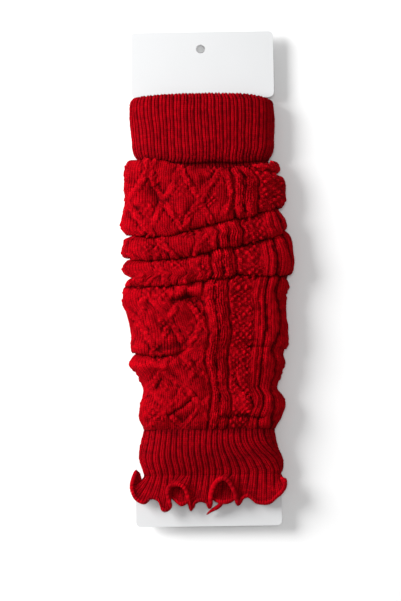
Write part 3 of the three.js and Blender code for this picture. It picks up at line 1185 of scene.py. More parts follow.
@dataclass
class KnitPiece:
    """What every knitted piece of a leg warmer shares."""

    tube: FlatTube
    finish: bpy.types.Material

    part: str = ""  # the piece's name after its layer's
    pattern: RibPattern | CablePattern = RibPattern()
    columns: Columns = Columns(22, 12, 6)
    wall: float = 1.6  # thickness of the cloth under its relief
    inner_every: int = 4  # rows of the outer face to one of the inner face
    cut: tuple[float, float] = (0.0, 0.0)  # the piece's flat size, round the leg and down it
    held: Held = Held.GATHERED
    rests_on: tuple[str, ...] = ("card",)

    PAINTED_FOLD_SHADE = 1.6  # painted shade: how deep the inside of a fold counts as, in mm of relief

    @property
    def name(self) -> str:
        """The CAD node that the piece stands for."""
        return f"{self.tube.layer.value}_{self.part}"

    def faces(self, middle: Array, normal: Array, relief: Array) -> tuple[Array, Array]:
        """Gives cloth its two faces.

        Args:
            middle: The cloth's middle, rows by columns by three.
            normal: Its outward directions.
            relief: How far the stitches stand out of the outer face at each point.

        Returns:
            The points of the outer face and of the inner one.
        """
        outside = middle + normal * (self.wall / 2 + relief)[..., None]
        return outside, middle - normal * (self.wall / 2)

    def close(self, middle: Array, relief: Array, hidden: Array) -> bpy.types.Object:
        """Turns one grid of cloth into a piece with a wall, closed over both ends.

        Args:
            middle: The cloth's middle, rows by columns by three.
            relief: How far the stitches stand out of the outer face at each point.
            hidden: How much each point lies inside a fold, 0 to 1, painted as shade.

        Returns:
            The dressed piece.
        """
        outside, inside = self.faces(middle, normals_of(middle), relief)
        kept = sorted({*range(0, len(middle), self.inner_every), len(middle) - 1}, reverse=True)
        courses = path_down(middle) / self.pattern.course
        shell = ClothShell(f"{self.name}_knit")
        # painted shade in the hollows of the relief and inside folds, painted highlight on its crests
        shell.add_rows(outside, courses, hollows_of(relief) + self.PAINTED_FOLD_SHADE * hidden)
        shell.add_rows(inside[kept], courses[kept])
        return self.dress(shell.build(self.columns.places() * self.pattern.WALES))

    def dress(self, piece: bpy.types.Object) -> bpy.types.Object:
        """Gives a finished mesh its material and its place in the frame.

        Args:
            piece: The mesh object.

        Returns:
            The same object.
        """
        piece.data.materials.append(self.finish)
        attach(piece, "root")
        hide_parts(self.name)
        LOG.info("%s: %d faces", piece.name, len(piece.data.polygons))
        return piece


@dataclass
class RibbedTube(KnitPiece):
    """A stretch of ribbing: the top cuff, the ankle or the hem."""

    step: float = 0.85
    hidden_step: float = 2.2
    calm_below: float = -151.3  # the cloth lies even here, where the hem goes on
    calm_over: float = 8.0
    flattened: float = 0.25  # the share of the ribs that is left under another layer
    uneven: float = 0.12  # how far a stitch stands out of its place
    pulled_round: float = 15.0  # how far the hem's right flare pulls the ribs round
    lumps: Lumps = Lumps(seed=11, size=0.3)
    sway: Lumps = Lumps(seed=5, size=0.5, shortest=25.0, longest=70.0)

    STITCH_SEED = 3
    PULL_LEFT = (0.0, 40.0)  # the pull grows and ends between these distances round
    PULL_RIGHT = (124.0, 66.0)
    PULL_DOWN = (-118.0, -156.0)

    def drift(self, loop: Loop, y: Any) -> Array:
        """Finds how far the hem's right flare pulls the cloth round.

        Args:
            loop: The columns.
            y: Height along the leg.

        Returns:
            The pull at each point.
        """
        reach = fade(loop.arc, *self.PULL_LEFT) * fade(loop.arc, *self.PULL_RIGHT)
        return self.pulled_round * reach * fade(y, *self.PULL_DOWN)

    def close_rows(self, stations: Stations, loop: Loop) -> bpy.types.Object:
        """Makes the ribbed piece.

        Args:
            stations: The points down each column.
            loop: The columns.

        Returns:
            The dressed piece.
        """
        rows = stations.rows(self.step, self.hidden_step)
        calm = fade(rows.y, self.calm_below, self.calm_below + self.calm_over)
        rise = rows.rise + self.lumps.height(loop, rows.y) * rows.shown * calm
        sway = self.sway.height(loop, rows.y) * calm
        middle = self.tube.points(loop.turned(self.drift(loop, rows.y)), rows.y, rise, sway)
        relief = self.pattern.height(self.columns.places()[:-1]) * mix(self.flattened, 1.0, rows.shown)
        draw = np.random.default_rng(self.STITCH_SEED)
        relief = relief + self.uneven * calm * draw.standard_normal(relief.shape)
        # covered cloth gets painted shade
        return self.close(middle, relief, 1 - rows.shown)


TOP_ROLL = CrossLine(
    front=(
        (-56, 92.6), (-49, 90.8), (-31, 88.8), (-18, 85.4), (-5, 83.2), (8, 82.2),
        (24, 81.9), (36, 84.4), (47, 86.4), (54, 88.2), (58, 90.2),
    ),
    back=88.0,
)


@dataclass
class TopCuff(RibbedTube):
    """The ribbed top cuff. Its lower end goes down under the leg's top roll."""

    part: str = "top_cuff"
    cut: tuple[float, float] = (224.0, 64.0)
    held: Held = Held.STRETCHED
    top: float = 141.5
    side_drop: float = 6.5  # how far the top edge falls away at the right side
    left_drop: float = 0.4  # the left side's share of it
    drop_power: float = 5.0  # how close to the sides it falls
    tucked_in: float = 9.0
    short: float = 0.0  # how much lower the inner cuff's edge is
    gape_x: float = 14.0  # middle of the gap between the cuff's end and the roll
    gape_half: float = 28.0
    gape_open: float = 5.0
    slack: float = 1.6  # how far above the roll the cuff turns in where nothing gapes

    def build(self) -> bpy.types.Object:
        """Returns the finished cuff."""
        loop = self.columns.loop()
        drop = self.side_drop * mix(self.left_drop, 1.0, fade(loop.x, -30.0, 30.0))
        top = self.top - self.short - drop * np.abs(loop.x / CrossLine.REACH) ** self.drop_power
        roll = TOP_ROLL.height(loop)
        gape = bell(loop.x - self.gape_x, self.gape_half) * smooth(loop.upness)
        turn_in = roll + self.slack + self.gape_open * gape
        stations = Stations(len(loop.x))
        for y, rise, shown in (
            # the rounded top edge
            (top, -1.6, 0.6),
            (top - 0.5, -0.4, 1.0),
            (top - 1.8, 0.4, 1.0),
            (top - 5, 0.9, 1.0),
            # the flat band
            (mix(top, roll, 0.35), 1.2, 1.0),
            (mix(top, roll, 0.75), 1.3, 1.0),
            # the lower end, which turns in and goes down into the gap; its low shown values paint shade there
            (turn_in + 6.0, 1.1, 0.92),
            (turn_in + 3.0, 0.5, 0.72),
            (turn_in + 1.0, -0.4, 0.55),
            (turn_in, -1.2 - 1.6 * gape, 0.4),
            (mix(roll, turn_in, 0.6), -1.0 - 2.6 * gape, 0.6),
            (roll - 0.8, -1.0 - 2.8 * gape, 0.3),
            (roll - self.tucked_in + 1, -0.2, 0.0),
        ):
            stations.add(y, rise, shown)
        return self.close_rows(stations, loop)


@dataclass
class AnkleRib(RibbedTube):
    """The ribbed ankle between the leg and the hem."""

    part: str = "ankle_rib"
    pattern: RibPattern = RibPattern(valley=1.45, furrow=0.6)
    columns: Columns = Columns(25, 12, 6)
    cut: tuple[float, float] = (216.0, 37.0)
    top: float = -116.0
    end: float = -151.3

    SWELL = (  # share of the way down, rise and how much of it shows
        (0.0, 0.2, 0.5),
        (0.08, 0.6, 0.72),
        (0.25, 1.3, 1.0),
        (0.6, 1.5, 1.0),
        (0.85, 1.0, 1.0),
        (1.0, 0.3, 1.0),
    )

    def build(self) -> bpy.types.Object:
        """Returns the finished ankle."""
        loop = self.columns.loop()
        stations = Stations(len(loop.x))
        for share, rise, shown in self.SWELL:
            stations.add(mix(self.top, self.end, share), rise, shown)
        return self.close_rows(stations, loop)


@dataclass(frozen=True)
class Tuck:
    """One fold that runs round the leg, with the cloth above it hanging over the cloth below."""

    line: CrossLine
    depth: float  # how far the folded cloth goes up behind
    strength: tuple[tuple[float, float], ...] = ((-60.0, 1.0), (60.0, 1.0))  # x, and how full it is
    above: int = 1  # stations on the stretch above, more where it is a long one

    # y above the fold's line, rise in pitches and how much shows, down to the fold,
    SHAPE = (
        (6.4, 2.13, 1.0),
        (3.2, 2.0, 1.0),
        (1.2, 1.72, 1.0),
        (0.0, 1.25, 0.8),
        (0.8, 0.95, 0.0),
        (4.0, 0.9, 0.0),
    )
    # then the same from its inside out to the cloth below
    RETURN = (
        (4.0, 0.0, 0.0),
        (0.6, 0.0, 0.0),
        (-1.3, 0.2, 0.6),
        (-3.0, 0.8, 1.0),
        (-5.6, 1.5, 1.0),
        (-8.8, 1.9, 1.0),
    )
    BACK_STRENGTH = 0.7
    OPEN_SAG = 0.35  # how much cloth sags where the fold is let out
    HIDES = (0.35, 0.8)  # strengths between which the fold hides its inside

    def path(self, start: float) -> list[tuple[float, float, float, float]]:
        """Goes through the whole fold.

        Args:
            start: The number of the panel above it.

        Returns:
            Rows of y above the line, rise in pitches, how much shows and the panel.
        """
        inside = ((self.depth, 0.9, 0.3), (self.depth + 1.0, 0.5, 0.5), (self.depth, 0.05, 0.7))
        return [
            *((y, rise, shown, start) for y, rise, shown in self.SHAPE),
            *((y, rise, 0.0, start + share) for y, rise, share in inside),
            *((y, rise, shown, start + 1.0) for y, rise, shown in self.RETURN),
        ]

    def add_to(self, stations: Stations, loop: Loop, start: float, pitch: Array) -> None:
        """Adds the fold to a leg.

        Args:
            stations: The leg's points so far.
            loop: The columns.
            start: The number of the panel above the fold.
            pitch: Thickness of one layer of the fold at each column.
        """
        line = self.line.height(loop)
        front = curve_through(*zip(*self.strength), loop.x)
        strength = mix(self.BACK_STRENGTH, front, smooth(loop.upness))
        path = self.path(start)
        first, last = path[0], path[-1]
        for i, (y, rise, shown, panel) in enumerate(path):
            share = i / (len(path) - 1)
            open_y, open_rise = mix(first[0], last[0], share), mix(first[1], last[1], share)
            open_rise = open_rise - self.OPEN_SAG * math.sin(math.pi * share)
            stations.add(
                line + mix(open_y, y, strength),
                pitch * mix(open_rise, rise, strength),
                mix(1.0, shown, fade(strength, *self.HIDES)),
                panel,
            )


@dataclass(frozen=True)
class SoftCrease:
    """A shallow valley in the cloth along a short line, or a swell where depth is below 0."""

    points: tuple[tuple[float, float], ...]
    depth: float
    width: float

    def depth_at(self, x: Array, y: Array) -> Array:
        """Finds how deep the valley is.

        Args:
            x: Place across the front.
            y: Height along the leg.

        Returns:
            Its depth at each point.
        """
        nearest = np.full(np.broadcast(x, y).shape, math.inf)
        for (x0, y0), (x1, y1) in zip(self.points, self.points[1:]):
            dx, dy = x1 - x0, y1 - y0
            t = np.clip(((x - x0) * dx + (y - y0) * dy) / (dx * dx + dy * dy), 0, 1)
            nearest = np.minimum(nearest, np.hypot(x - x0 - t * dx, y - y0 - t * dy))
        return self.depth * bell(nearest, self.width)


LEG_TUCKS = (
    Tuck(
        CrossLine(
            (
                (-52, 34.0), (-47, 32.8), (-41, 31.8), (-29, 31.7), (-16, 34.8), (-3, 37.9),
                (12, 41.7), (22, 44.0), (31, 45.6), (40, 48.6), (48, 51.2), (54, 54.0),
            ),
            back=41.0,
        ),
        depth=10,
        above=4,
    ),
    Tuck(
        CrossLine(
            (
                (-52, 16.6), (-47, 14.6), (-41, 13.4), (-27, 14.0), (-12, 15.5), (1, 18.6),
                (14, 22.5), (24, 23.4), (33, 26.3), (42, 28.8), (48, 32.0), (54, 37.6),
            ),
            back=20.0,
        ),
        depth=9,
    ),
    Tuck(
        CrossLine(
            (
                (-52, 1.6), (-48, -2.6), (-43, -6.2), (-32, -6.7), (-17, -6.0), (-3, -2.9),
                (11, -1.4), (21, 0.9), (35, 0.2), (49, 0.9), (54, 0.9),
            ),
            back=-5.0,
        ),
        depth=9,
        strength=((-60, 1.0), (42, 1.0), (58, 0.55)),
    ),
    Tuck(
        CrossLine(
            (
                (-52, -57.2), (-47, -58.8), (-39, -60.2), (-29, -59.6), (-19, -57.3),
                (0, -54.5), (20, -54.0), (33, -54.2), (54, -57.0),
            ),
            back=-57.0,
        ),
        depth=5,
        strength=((-60, 1.0), (-35, 0.95), (-24, 0.6), (-12, 0.12), (20, 0.08), (45, 0.22), (60, 0.25)),
        above=4,
    ),
)

LEG_CREASES = (
    # a short fold at the right end of the top roll
    SoftCrease(((30, 87.0), (36, 83.4), (43, 81.2), (54, 79.4), (60, 79.0)), 4.6, 1.7),
    # short lines under the third tuck
    SoftCrease(((-52, -7.0), (-40, -8.2)), 2.6, 1.3),
    SoftCrease(((-22, -20.5), (-12, -15.2), (0, -17.0)), 3.0, 2.8),
    # a dent along the fourth tuck, the bulge under it and a line at its right end
    SoftCrease(((-38, -55.0), (-22, -54.0)), 2.6, 5.0),
    SoftCrease(((-46, -68.0), (-32, -70.0)), -2.2, 7.0),
    SoftCrease(((31, -54.6), (42, -54.4)), 1.5, 1.6),
    # wide dents and swells, from the top down
    SoftCrease(((-32, 66.0), (-29, 59.0)), 3.5, 8.0),
    SoftCrease(((-47, 68.0), (-46, 60.0)), -1.4, 4.5),
    SoftCrease(((-10, -17.0), (-3, -20.0)), 3.4, 5.0),
    SoftCrease(((-29, -18.0), (-24, -23.0)), -1.8, 6.0),
    SoftCrease(((-8, -22.0), (-2, -30.0)), 2.6, 5.0),
    SoftCrease(((-29, -40.0), (-24, -47.0)), 3.2, 8.0),
    SoftCrease(((-19, -74.0), (-15, -88.0)), -2.8, 9.0),
    SoftCrease(((25, -80.0), (29, -98.0)), -2.2, 7.0),
    # lines where the leg is drawn in towards the ankle
    SoftCrease(((21, -77.0), (27, -88.0), (32, -95.0), (34, -101.0)), 2.0, 1.5),
    SoftCrease(((-33, -106.0), (-22, -99.0), (-13, -91.0)), 2.2, 1.8),
    SoftCrease(((-20, -105.0), (-24, -108.0)), 2.0, 5.0),
    SoftCrease(((10, -107.5), (26, -106.5), (44, -108.5)), 2.0, 1.8),
)


@dataclass
class CableLeg(KnitPiece):
    """The patterned leg, pushed up into rolls, with its top turned over the cuff's end."""

    part: str = "leg"
    cut: tuple[float, float] = (238.0, 318.0)
    pattern: CablePattern = CablePattern()
    columns: Columns = Columns(71, 3, 1)
    inner_every: int = 6
    step: float = 0.97
    hidden_step: float = 3.4
    pitch_front: float = 3.0
    pitch_back: float = 2.4
    clear: float = 3.1  # how far the top roll lies outside the cuff
    full: float = 2.05  # how far the cloth between two tucks stands out, in pitches
    sag: float = 0.16  # the share of it that a long stretch sags
    plump: float = 1.02  # the share that a short roll stands out
    dragged: float = 6.5  # how far the fourth stretch's plain cloth is pulled to the right
    uneven: float = 0.22  # how far a stitch lies out of its place
    lumps: Lumps = Lumps(seed=4, size=0.9)
    small_lumps: Lumps = Lumps(seed=6, size=0.4, waves=14, shortest=8.0, longest=18.0)
    sway: Lumps = Lumps(seed=9, size=0.7, shortest=30.0, longest=80.0)
    stray_across: Lumps = Lumps(seed=31, size=0.5, waves=24, shortest=6.0, longest=36.0)
    stray_along: Lumps = Lumps(seed=37, size=1.0, waves=24, shortest=6.0, longest=36.0)
    fuzz: Lumps = Lumps(seed=41, size=0.16, waves=36, shortest=3.2, longest=9.0)
    tucks: tuple[Tuck, ...] = LEG_TUCKS
    creases: tuple[SoftCrease, ...] = LEG_CREASES
    panels: tuple[PanelSet, ...] = (  # twist, a crossing's x and y, the lattice's width and height
        PanelSet(22.8, -49.4, 58.3, 24.0, 49.4, lean=0.28, bands=0.8),
        PanelSet(9.0, -37.0, 26.0, 26.0, 50.0, bands=0.75),
        PanelSet(3.3, -35.5, 8.0, 24.6, 50.0, bands=0.75),
        PanelSet(0.0, -26.6, -34.3, 22.4, 43.0, bands=0.72),
        PanelSet(0.0, -21.5, -85.6, 27.0, 29.0, bands=0.6),
    )

    STITCH_SEED = 21
    SIDE_RELIEF = 0.5  # the share of the relief that is left where the sides stretch it
    SIDE_TURN = (0.2, 0.8)  # how far the cloth has turned from upright to flat there
    DENT_TURN = 1.8  # dents end this much sooner than the front does
    TOP_TURN = (  # distance below the top roll's line, rise over the cuff and how much shows
        (9.0, 0.0, 0.0),
        (4.0, 0.0, 0.0),
        (1.0, 0.2, 0.4),
        (-0.1, 1.0, 1.0),
        (0.5, 2.0, 1.0),
        (2.3, 2.8, 1.0),
        (6.0, 3.2, 1.0),
    )
    BELOW = (  # height, rise in pitches and how much shows, from the last tuck to the ankle
        (-72.0, 1.2, 1.0),
        (-80.0, 1.0, 1.0),
        (-86.0, 0.92, 1.0),
        (-92.0, 1.15, 1.0),
        (-98.0, 1.5, 1.0),
        (-104.0, 1.5, 1.0),
        (-108.5, 1.25, 0.94),
        (-112.5, 0.85, 0.8),
        (-115.2, 0.5, 0.65),
        (-116.9, 0.25, 0.5),
    )
    DRAG_PANEL = 3.0
    DRAG_X = -24.0
    DRAG_HALF = 15.0
    DRAG_DOWN = (-8.0, -54.0)

    def pitch(self, loop: Loop) -> Array:
        """Returns the thickness of one layer of a fold at each column."""
        return mix(self.pitch_back, self.pitch_front, smooth(loop.upness))

    def stations(self, loop: Loop) -> Stations:
        """Goes down the leg, from the top roll to the ankle.

        Args:
            loop: The columns.

        Returns:
            The points down each column.
        """
        pitch = self.pitch(loop)
        stations = Stations(len(loop.x))
        top = TOP_ROLL.height(loop)
        for drop, rise, shown in self.TOP_TURN:
            stations.add(top - drop, self.clear + rise, shown)
        for index, tuck in enumerate(self.tucks):
            above, below = stations.y[-1], tuck.line.height(loop) + Tuck.SHAPE[0][0]
            for i in range(tuck.above):
                share = (i + 1) / (tuck.above + 1)
                long_sag = 1.0 - self.sag * math.sin(math.pi * share)
                rise = self.full * pitch * (long_sag if tuck.above > 1 else self.plump)
                stations.add(mix(above, below, share), rise, 1.0, float(index))
            tuck.add_to(stations, loop, float(index), pitch)
        for y, rise, shown in self.BELOW:
            stations.add(y, rise * pitch, shown, float(len(self.tucks)))
        return stations

    def relief(self, loop: Loop, rows: Rows) -> Array:
        """Finds how far the stitches stand out.

        Args:
            loop: The columns.
            rows: The rows.

        Returns:
            The relief at each point of the grid.
        """
        draw = np.random.default_rng(self.STITCH_SEED)
        y = rows.y + self.uneven * draw.standard_normal(rows.y.shape)
        x = loop.arc[None, :] + self.drag(loop, rows) + self.uneven * draw.standard_normal(rows.y.shape)
        x = x + self.stray_across.height(loop, rows.y)
        y = y + self.stray_along.height(loop, rows.y)
        wales = self.columns.places()[:-1]
        total = np.zeros_like(y)
        for index, panel in enumerate(self.panels):
            weight = np.clip(1 - np.abs(rows.panel - index), 0, 1)
            used = weight[:, 0] > 0
            height = self.pattern.height(x[used] - panel.shift, y[used], loop.girth, panel, wales)
            total[used] += weight[used] * height
        total += self.fuzz.height(loop, rows.y)
        total *= mix(self.SIDE_RELIEF, 1.0, fade(np.abs(loop.nz), *self.SIDE_TURN))
        return total * smooth(rows.shown)

    def dents(self, loop: Loop, rows: Rows) -> Array:
        """Finds how deep the soft creases are.

        Args:
            loop: The columns.
            rows: The rows.

        Returns:
            The depth at each point of the grid, 0 on the back.
        """
        total = sum(crease.depth_at(loop.x[None, :], rows.y) for crease in self.creases)
        return total * smooth(loop.upness * self.DENT_TURN)[None, :] * smooth(rows.shown)

    def drag(self, loop: Loop, rows: Rows) -> Array:
        """Finds how far the fourth stretch's plain cloth slides right under its lattice.

        Args:
            loop: The columns.
            rows: The rows.

        Returns:
            The slide at each point of the grid.
        """
        here = np.clip(1 - np.abs(rows.panel - self.DRAG_PANEL), 0, 1)
        across = bell(loop.arc - self.DRAG_X, self.DRAG_HALF)
        return self.dragged * here * across * fade(rows.y, *self.DRAG_DOWN)

    def build(self) -> bpy.types.Object:
        """Returns the finished leg."""
        loop = self.columns.loop()
        rows = self.stations(loop).rows(self.step, self.hidden_step)
        dents = self.dents(loop, rows)
        lumps = self.lumps.height(loop, rows.y) + self.small_lumps.height(loop, rows.y)
        rise = rows.rise + lumps * smooth(rows.shown) - dents
        sway = self.sway.height(loop, rows.y) + self.drag(loop, rows)
        middle = self.tube.points(loop, rows.y, rise, sway)
        # painted shade inside folds and in the soft creases' dents
        hidden = 1 - rows.shown - hollows_of(dents) / self.PAINTED_FOLD_SHADE
        return self.close(middle, self.relief(loop, rows), hidden)


@dataclass
class HiddenLeg(CableLeg):
    """The inner leg, which the outer one covers, with its share of the tucks."""

    cut: tuple[float, float] = (222.0, 210.0)
    columns: Columns = Columns(71, 1, 1)
    step: float = 2.2
    end: float = -116.4
    fullness: float = 1.2  # how far it stands out inside the outer leg's rolls, in pitches

    def stations(self, loop: Loop) -> Stations:
        """Goes down the leg, out into the outer leg's rolls and in again under its tucks.

        Args:
            loop: The columns.

        Returns:
            The points down each column.
        """
        full = self.fullness * self.pitch(loop)
        top = TOP_ROLL.height(loop) - TopCuff.tucked_in
        first, _, third, fourth = (tuck.line.height(loop) for tuck in self.tucks)
        stations = Stations(len(loop.x))
        for y, rise in (
            (top, 0.0),
            (top - 3, 0.0),
            (top - 9, full),
            (first + 18, full),
            (first + 11, 0.0),
            (third - 5, 0.0),
            (third - 17, full),
            (fourth + 13, full),
            (fourth + 6, 0.0),
            (self.end, 0.0),
        ):
            stations.add(y, rise)
        return stations


@dataclass(frozen=True)
class HemPoint:
    """One point of the hem's edge: which place round the tube it hangs from, and where it is."""

    arc: float
    x: float
    y: float
    lift: float


OUTER_EDGE = tuple(
    HemPoint(*row)
    for row in (
        # the flare at the left side, which curls up and back
        (-60.5, -48.8, -158.0, 0.5), (-58.8, -51.6, -155.6, 2.0), (-57.2, -53.8, -148.4, 3.6),
        (-55.6, -56.2, -153.2, 4.4), (-53.5, -57.6, -159.4, 4.6), (-51.3, -56.2, -165.1, 4.2),
        (-48.6, -52.9, -169.2, 3.6), (-45.6, -47.3, -170.9, 3.0), (-43.4, -44.1, -168.0, 2.6),
        (-41.2, -40.7, -167.4, 2.4), (-39.0, -37.3, -169.6, 2.8),
        # the first arch, between two loops
        (-37.4, -36.2, -173.0, 4.0), (-36.0, -35.3, -175.6, 4.8), (-34.2, -32.6, -176.9, 4.8),
        (-32.4, -29.8, -175.6, 4.2), (-31.0, -29.4, -172.0, 4.4), (-29.6, -30.6, -167.4, 4.8),
        (-28.0, -31.0, -163.3, 5.0), (-26.2, -29.4, -159.9, 5.2), (-23.4, -25.8, -158.5, 5.4),
        (-20.2, -21.8, -158.3, 5.4), (-17.6, -18.2, -160.3, 5.0), (-15.6, -16.2, -165.0, 4.2),
        (-13.8, -14.9, -171.5, 2.8), (-12.2, -13.4, -176.5, 1.8), (-10.6, -11.9, -175.3, 1.6),
        # a low wave
        (-9.4, -10.8, -172.6, 1.6), (-7.4, -8.1, -170.4, 1.8), (-4.0, -4.3, -170.0, 1.8),
        (-1.6, -1.7, -171.5, 1.6), (0.0, -0.5, -174.2, 1.6), (1.4, 0.6, -174.9, 2.0),
        # the second arch
        (2.6, 1.2, -172.0, 3.0), (4.2, 1.4, -167.7, 4.4), (6.2, 2.7, -162.0, 5.6),
        (8.6, 5.2, -157.5, 6.2), (12.0, 8.9, -154.7, 6.6), (16.0, 13.5, -154.9, 6.6),
        (19.4, 16.9, -159.0, 5.8), (22.0, 19.6, -164.7, 5.4), (24.0, 20.9, -170.0, 3.2),
        (25.6, 21.9, -173.0, 1.8), (27.0, 23.2, -172.6, 1.8),
        # the long wave and the flare at the right side
        (28.8, 25.2, -169.2, 2.2), (31.4, 28.7, -167.0, 2.6), (34.4, 31.7, -168.1, 1.8),
        (37.6, 35.1, -171.2, 1.2), (42.0, 40.4, -172.5, 0.8), (47.0, 46.5, -171.8, 1.2),
        (51.0, 51.0, -168.0, 2.4), (54.6, 55.6, -163.6, 4.0), (57.4, 57.7, -158.9, 4.2),
        (59.2, 56.9, -154.9, 3.8), (60.6, 54.9, -155.4, 2.4), (61.9, 53.6, -158.2, 1.0),
    )
)

INNER_EDGE = tuple(
    HemPoint(*row)
    for row in (
        (-58.5, -46.0, -157.5, 0.0), (-46.0, -40.0, -164.0, 0.2), (-31.0, -28.0, -167.0, 3.6),
        (-22.0, -20.5, -172.6, 7.4), (-14.0, -13.0, -169.5, 4.8), (0.0, 0.0, -167.0, 1.6),
        (9.5, 9.0, -171.5, 6.0), (17.0, 16.5, -170.8, 5.0), (24.0, 23.0, -166.5, 1.6),
        (38.0, 35.0, -165.0, 0.3), (60.5, 51.0, -157.5, 0.0),
    )
)


@dataclass(frozen=True)
class YarnTail:
    """The loose cut end of the overlock thread, which sticks out of the hem."""

    path: tuple[tuple[float, float, float, float], ...] = (  # x, y, z and radius
        (11.0, -171.8, 18.4, 1.9),
        (6.6, -175.4, 17.6, 1.7),
        (2.1, -178.0, 16.2, 1.25),
        (-2.0, -181.2, 14.6, 0.8),
    )
    sides: int = 12
    rings: int = 28
    bluntness: float = 0.3  # how soon the ends reach their full thickness

    SMALLEST = 1e-6  # keeps the poles from dividing by nothing

    def points(self, ball: Array, centre_x: float) -> Array:
        """Stretches a ball along the path.

        Args:
            ball: The points of a ball of radius 1.
            centre_x: x of the card's centre line, in mm.

        Returns:
            The points of the tail, in mm.
        """
        along = np.arccos(np.clip(-ball[:, 2], -1, 1)) / math.pi
        table = np.array(self.path)
        knots = np.linspace(0, 1, len(table))
        x, y, z, radius = (rounded_curve(knots, values, np.clip(along, 0, 0.9999)) for values in table.T)
        ahead = table[-1, :2] - table[0, :2]
        sideways = np.array([-ahead[1], ahead[0]]) / np.linalg.norm(ahead)
        out = np.maximum(np.hypot(ball[:, 0], ball[:, 1]), self.SMALLEST)
        swell = radius * out**self.bluntness / out
        x = x + ball[:, 0] * swell * sideways[0] + centre_x
        y = y + ball[:, 0] * swell * sideways[1]
        return np.stack([x, y, z + ball[:, 1] * swell], axis=-1)

    def join_to(self, piece: bpy.types.Object, centre_x: float) -> None:
        """Adds the tail to a hem's mesh.

        Args:
            piece: The hem.
            centre_x: x of the card's centre line, in mm.
        """
        bpy.ops.object.select_all(action="DESELECT")
        bpy.ops.mesh.primitive_uv_sphere_add(segments=self.sides, ring_count=self.rings, radius=1.0)
        tail = bpy.context.object
        ball = np.array([tuple(vertex.co) for vertex in tail.data.vertices])
        places = self.points(ball, centre_x).reshape(-1) * MM
        tail.data.vertices.foreach_set("co", places.astype(np.float32))
        tail.data.polygons.foreach_set("use_smooth", np.ones(len(tail.data.polygons), dtype=bool))
        thread = tail.data.uv_layers[0]
        thread.name = "stitches"
        thread.data.foreach_set("uv", np.full(2 * len(thread.data), ClothShell.WOUND, dtype=np.float32))
        piece.select_set(True)
        bpy.context.view_layer.objects.active = piece
        bpy.ops.object.join()


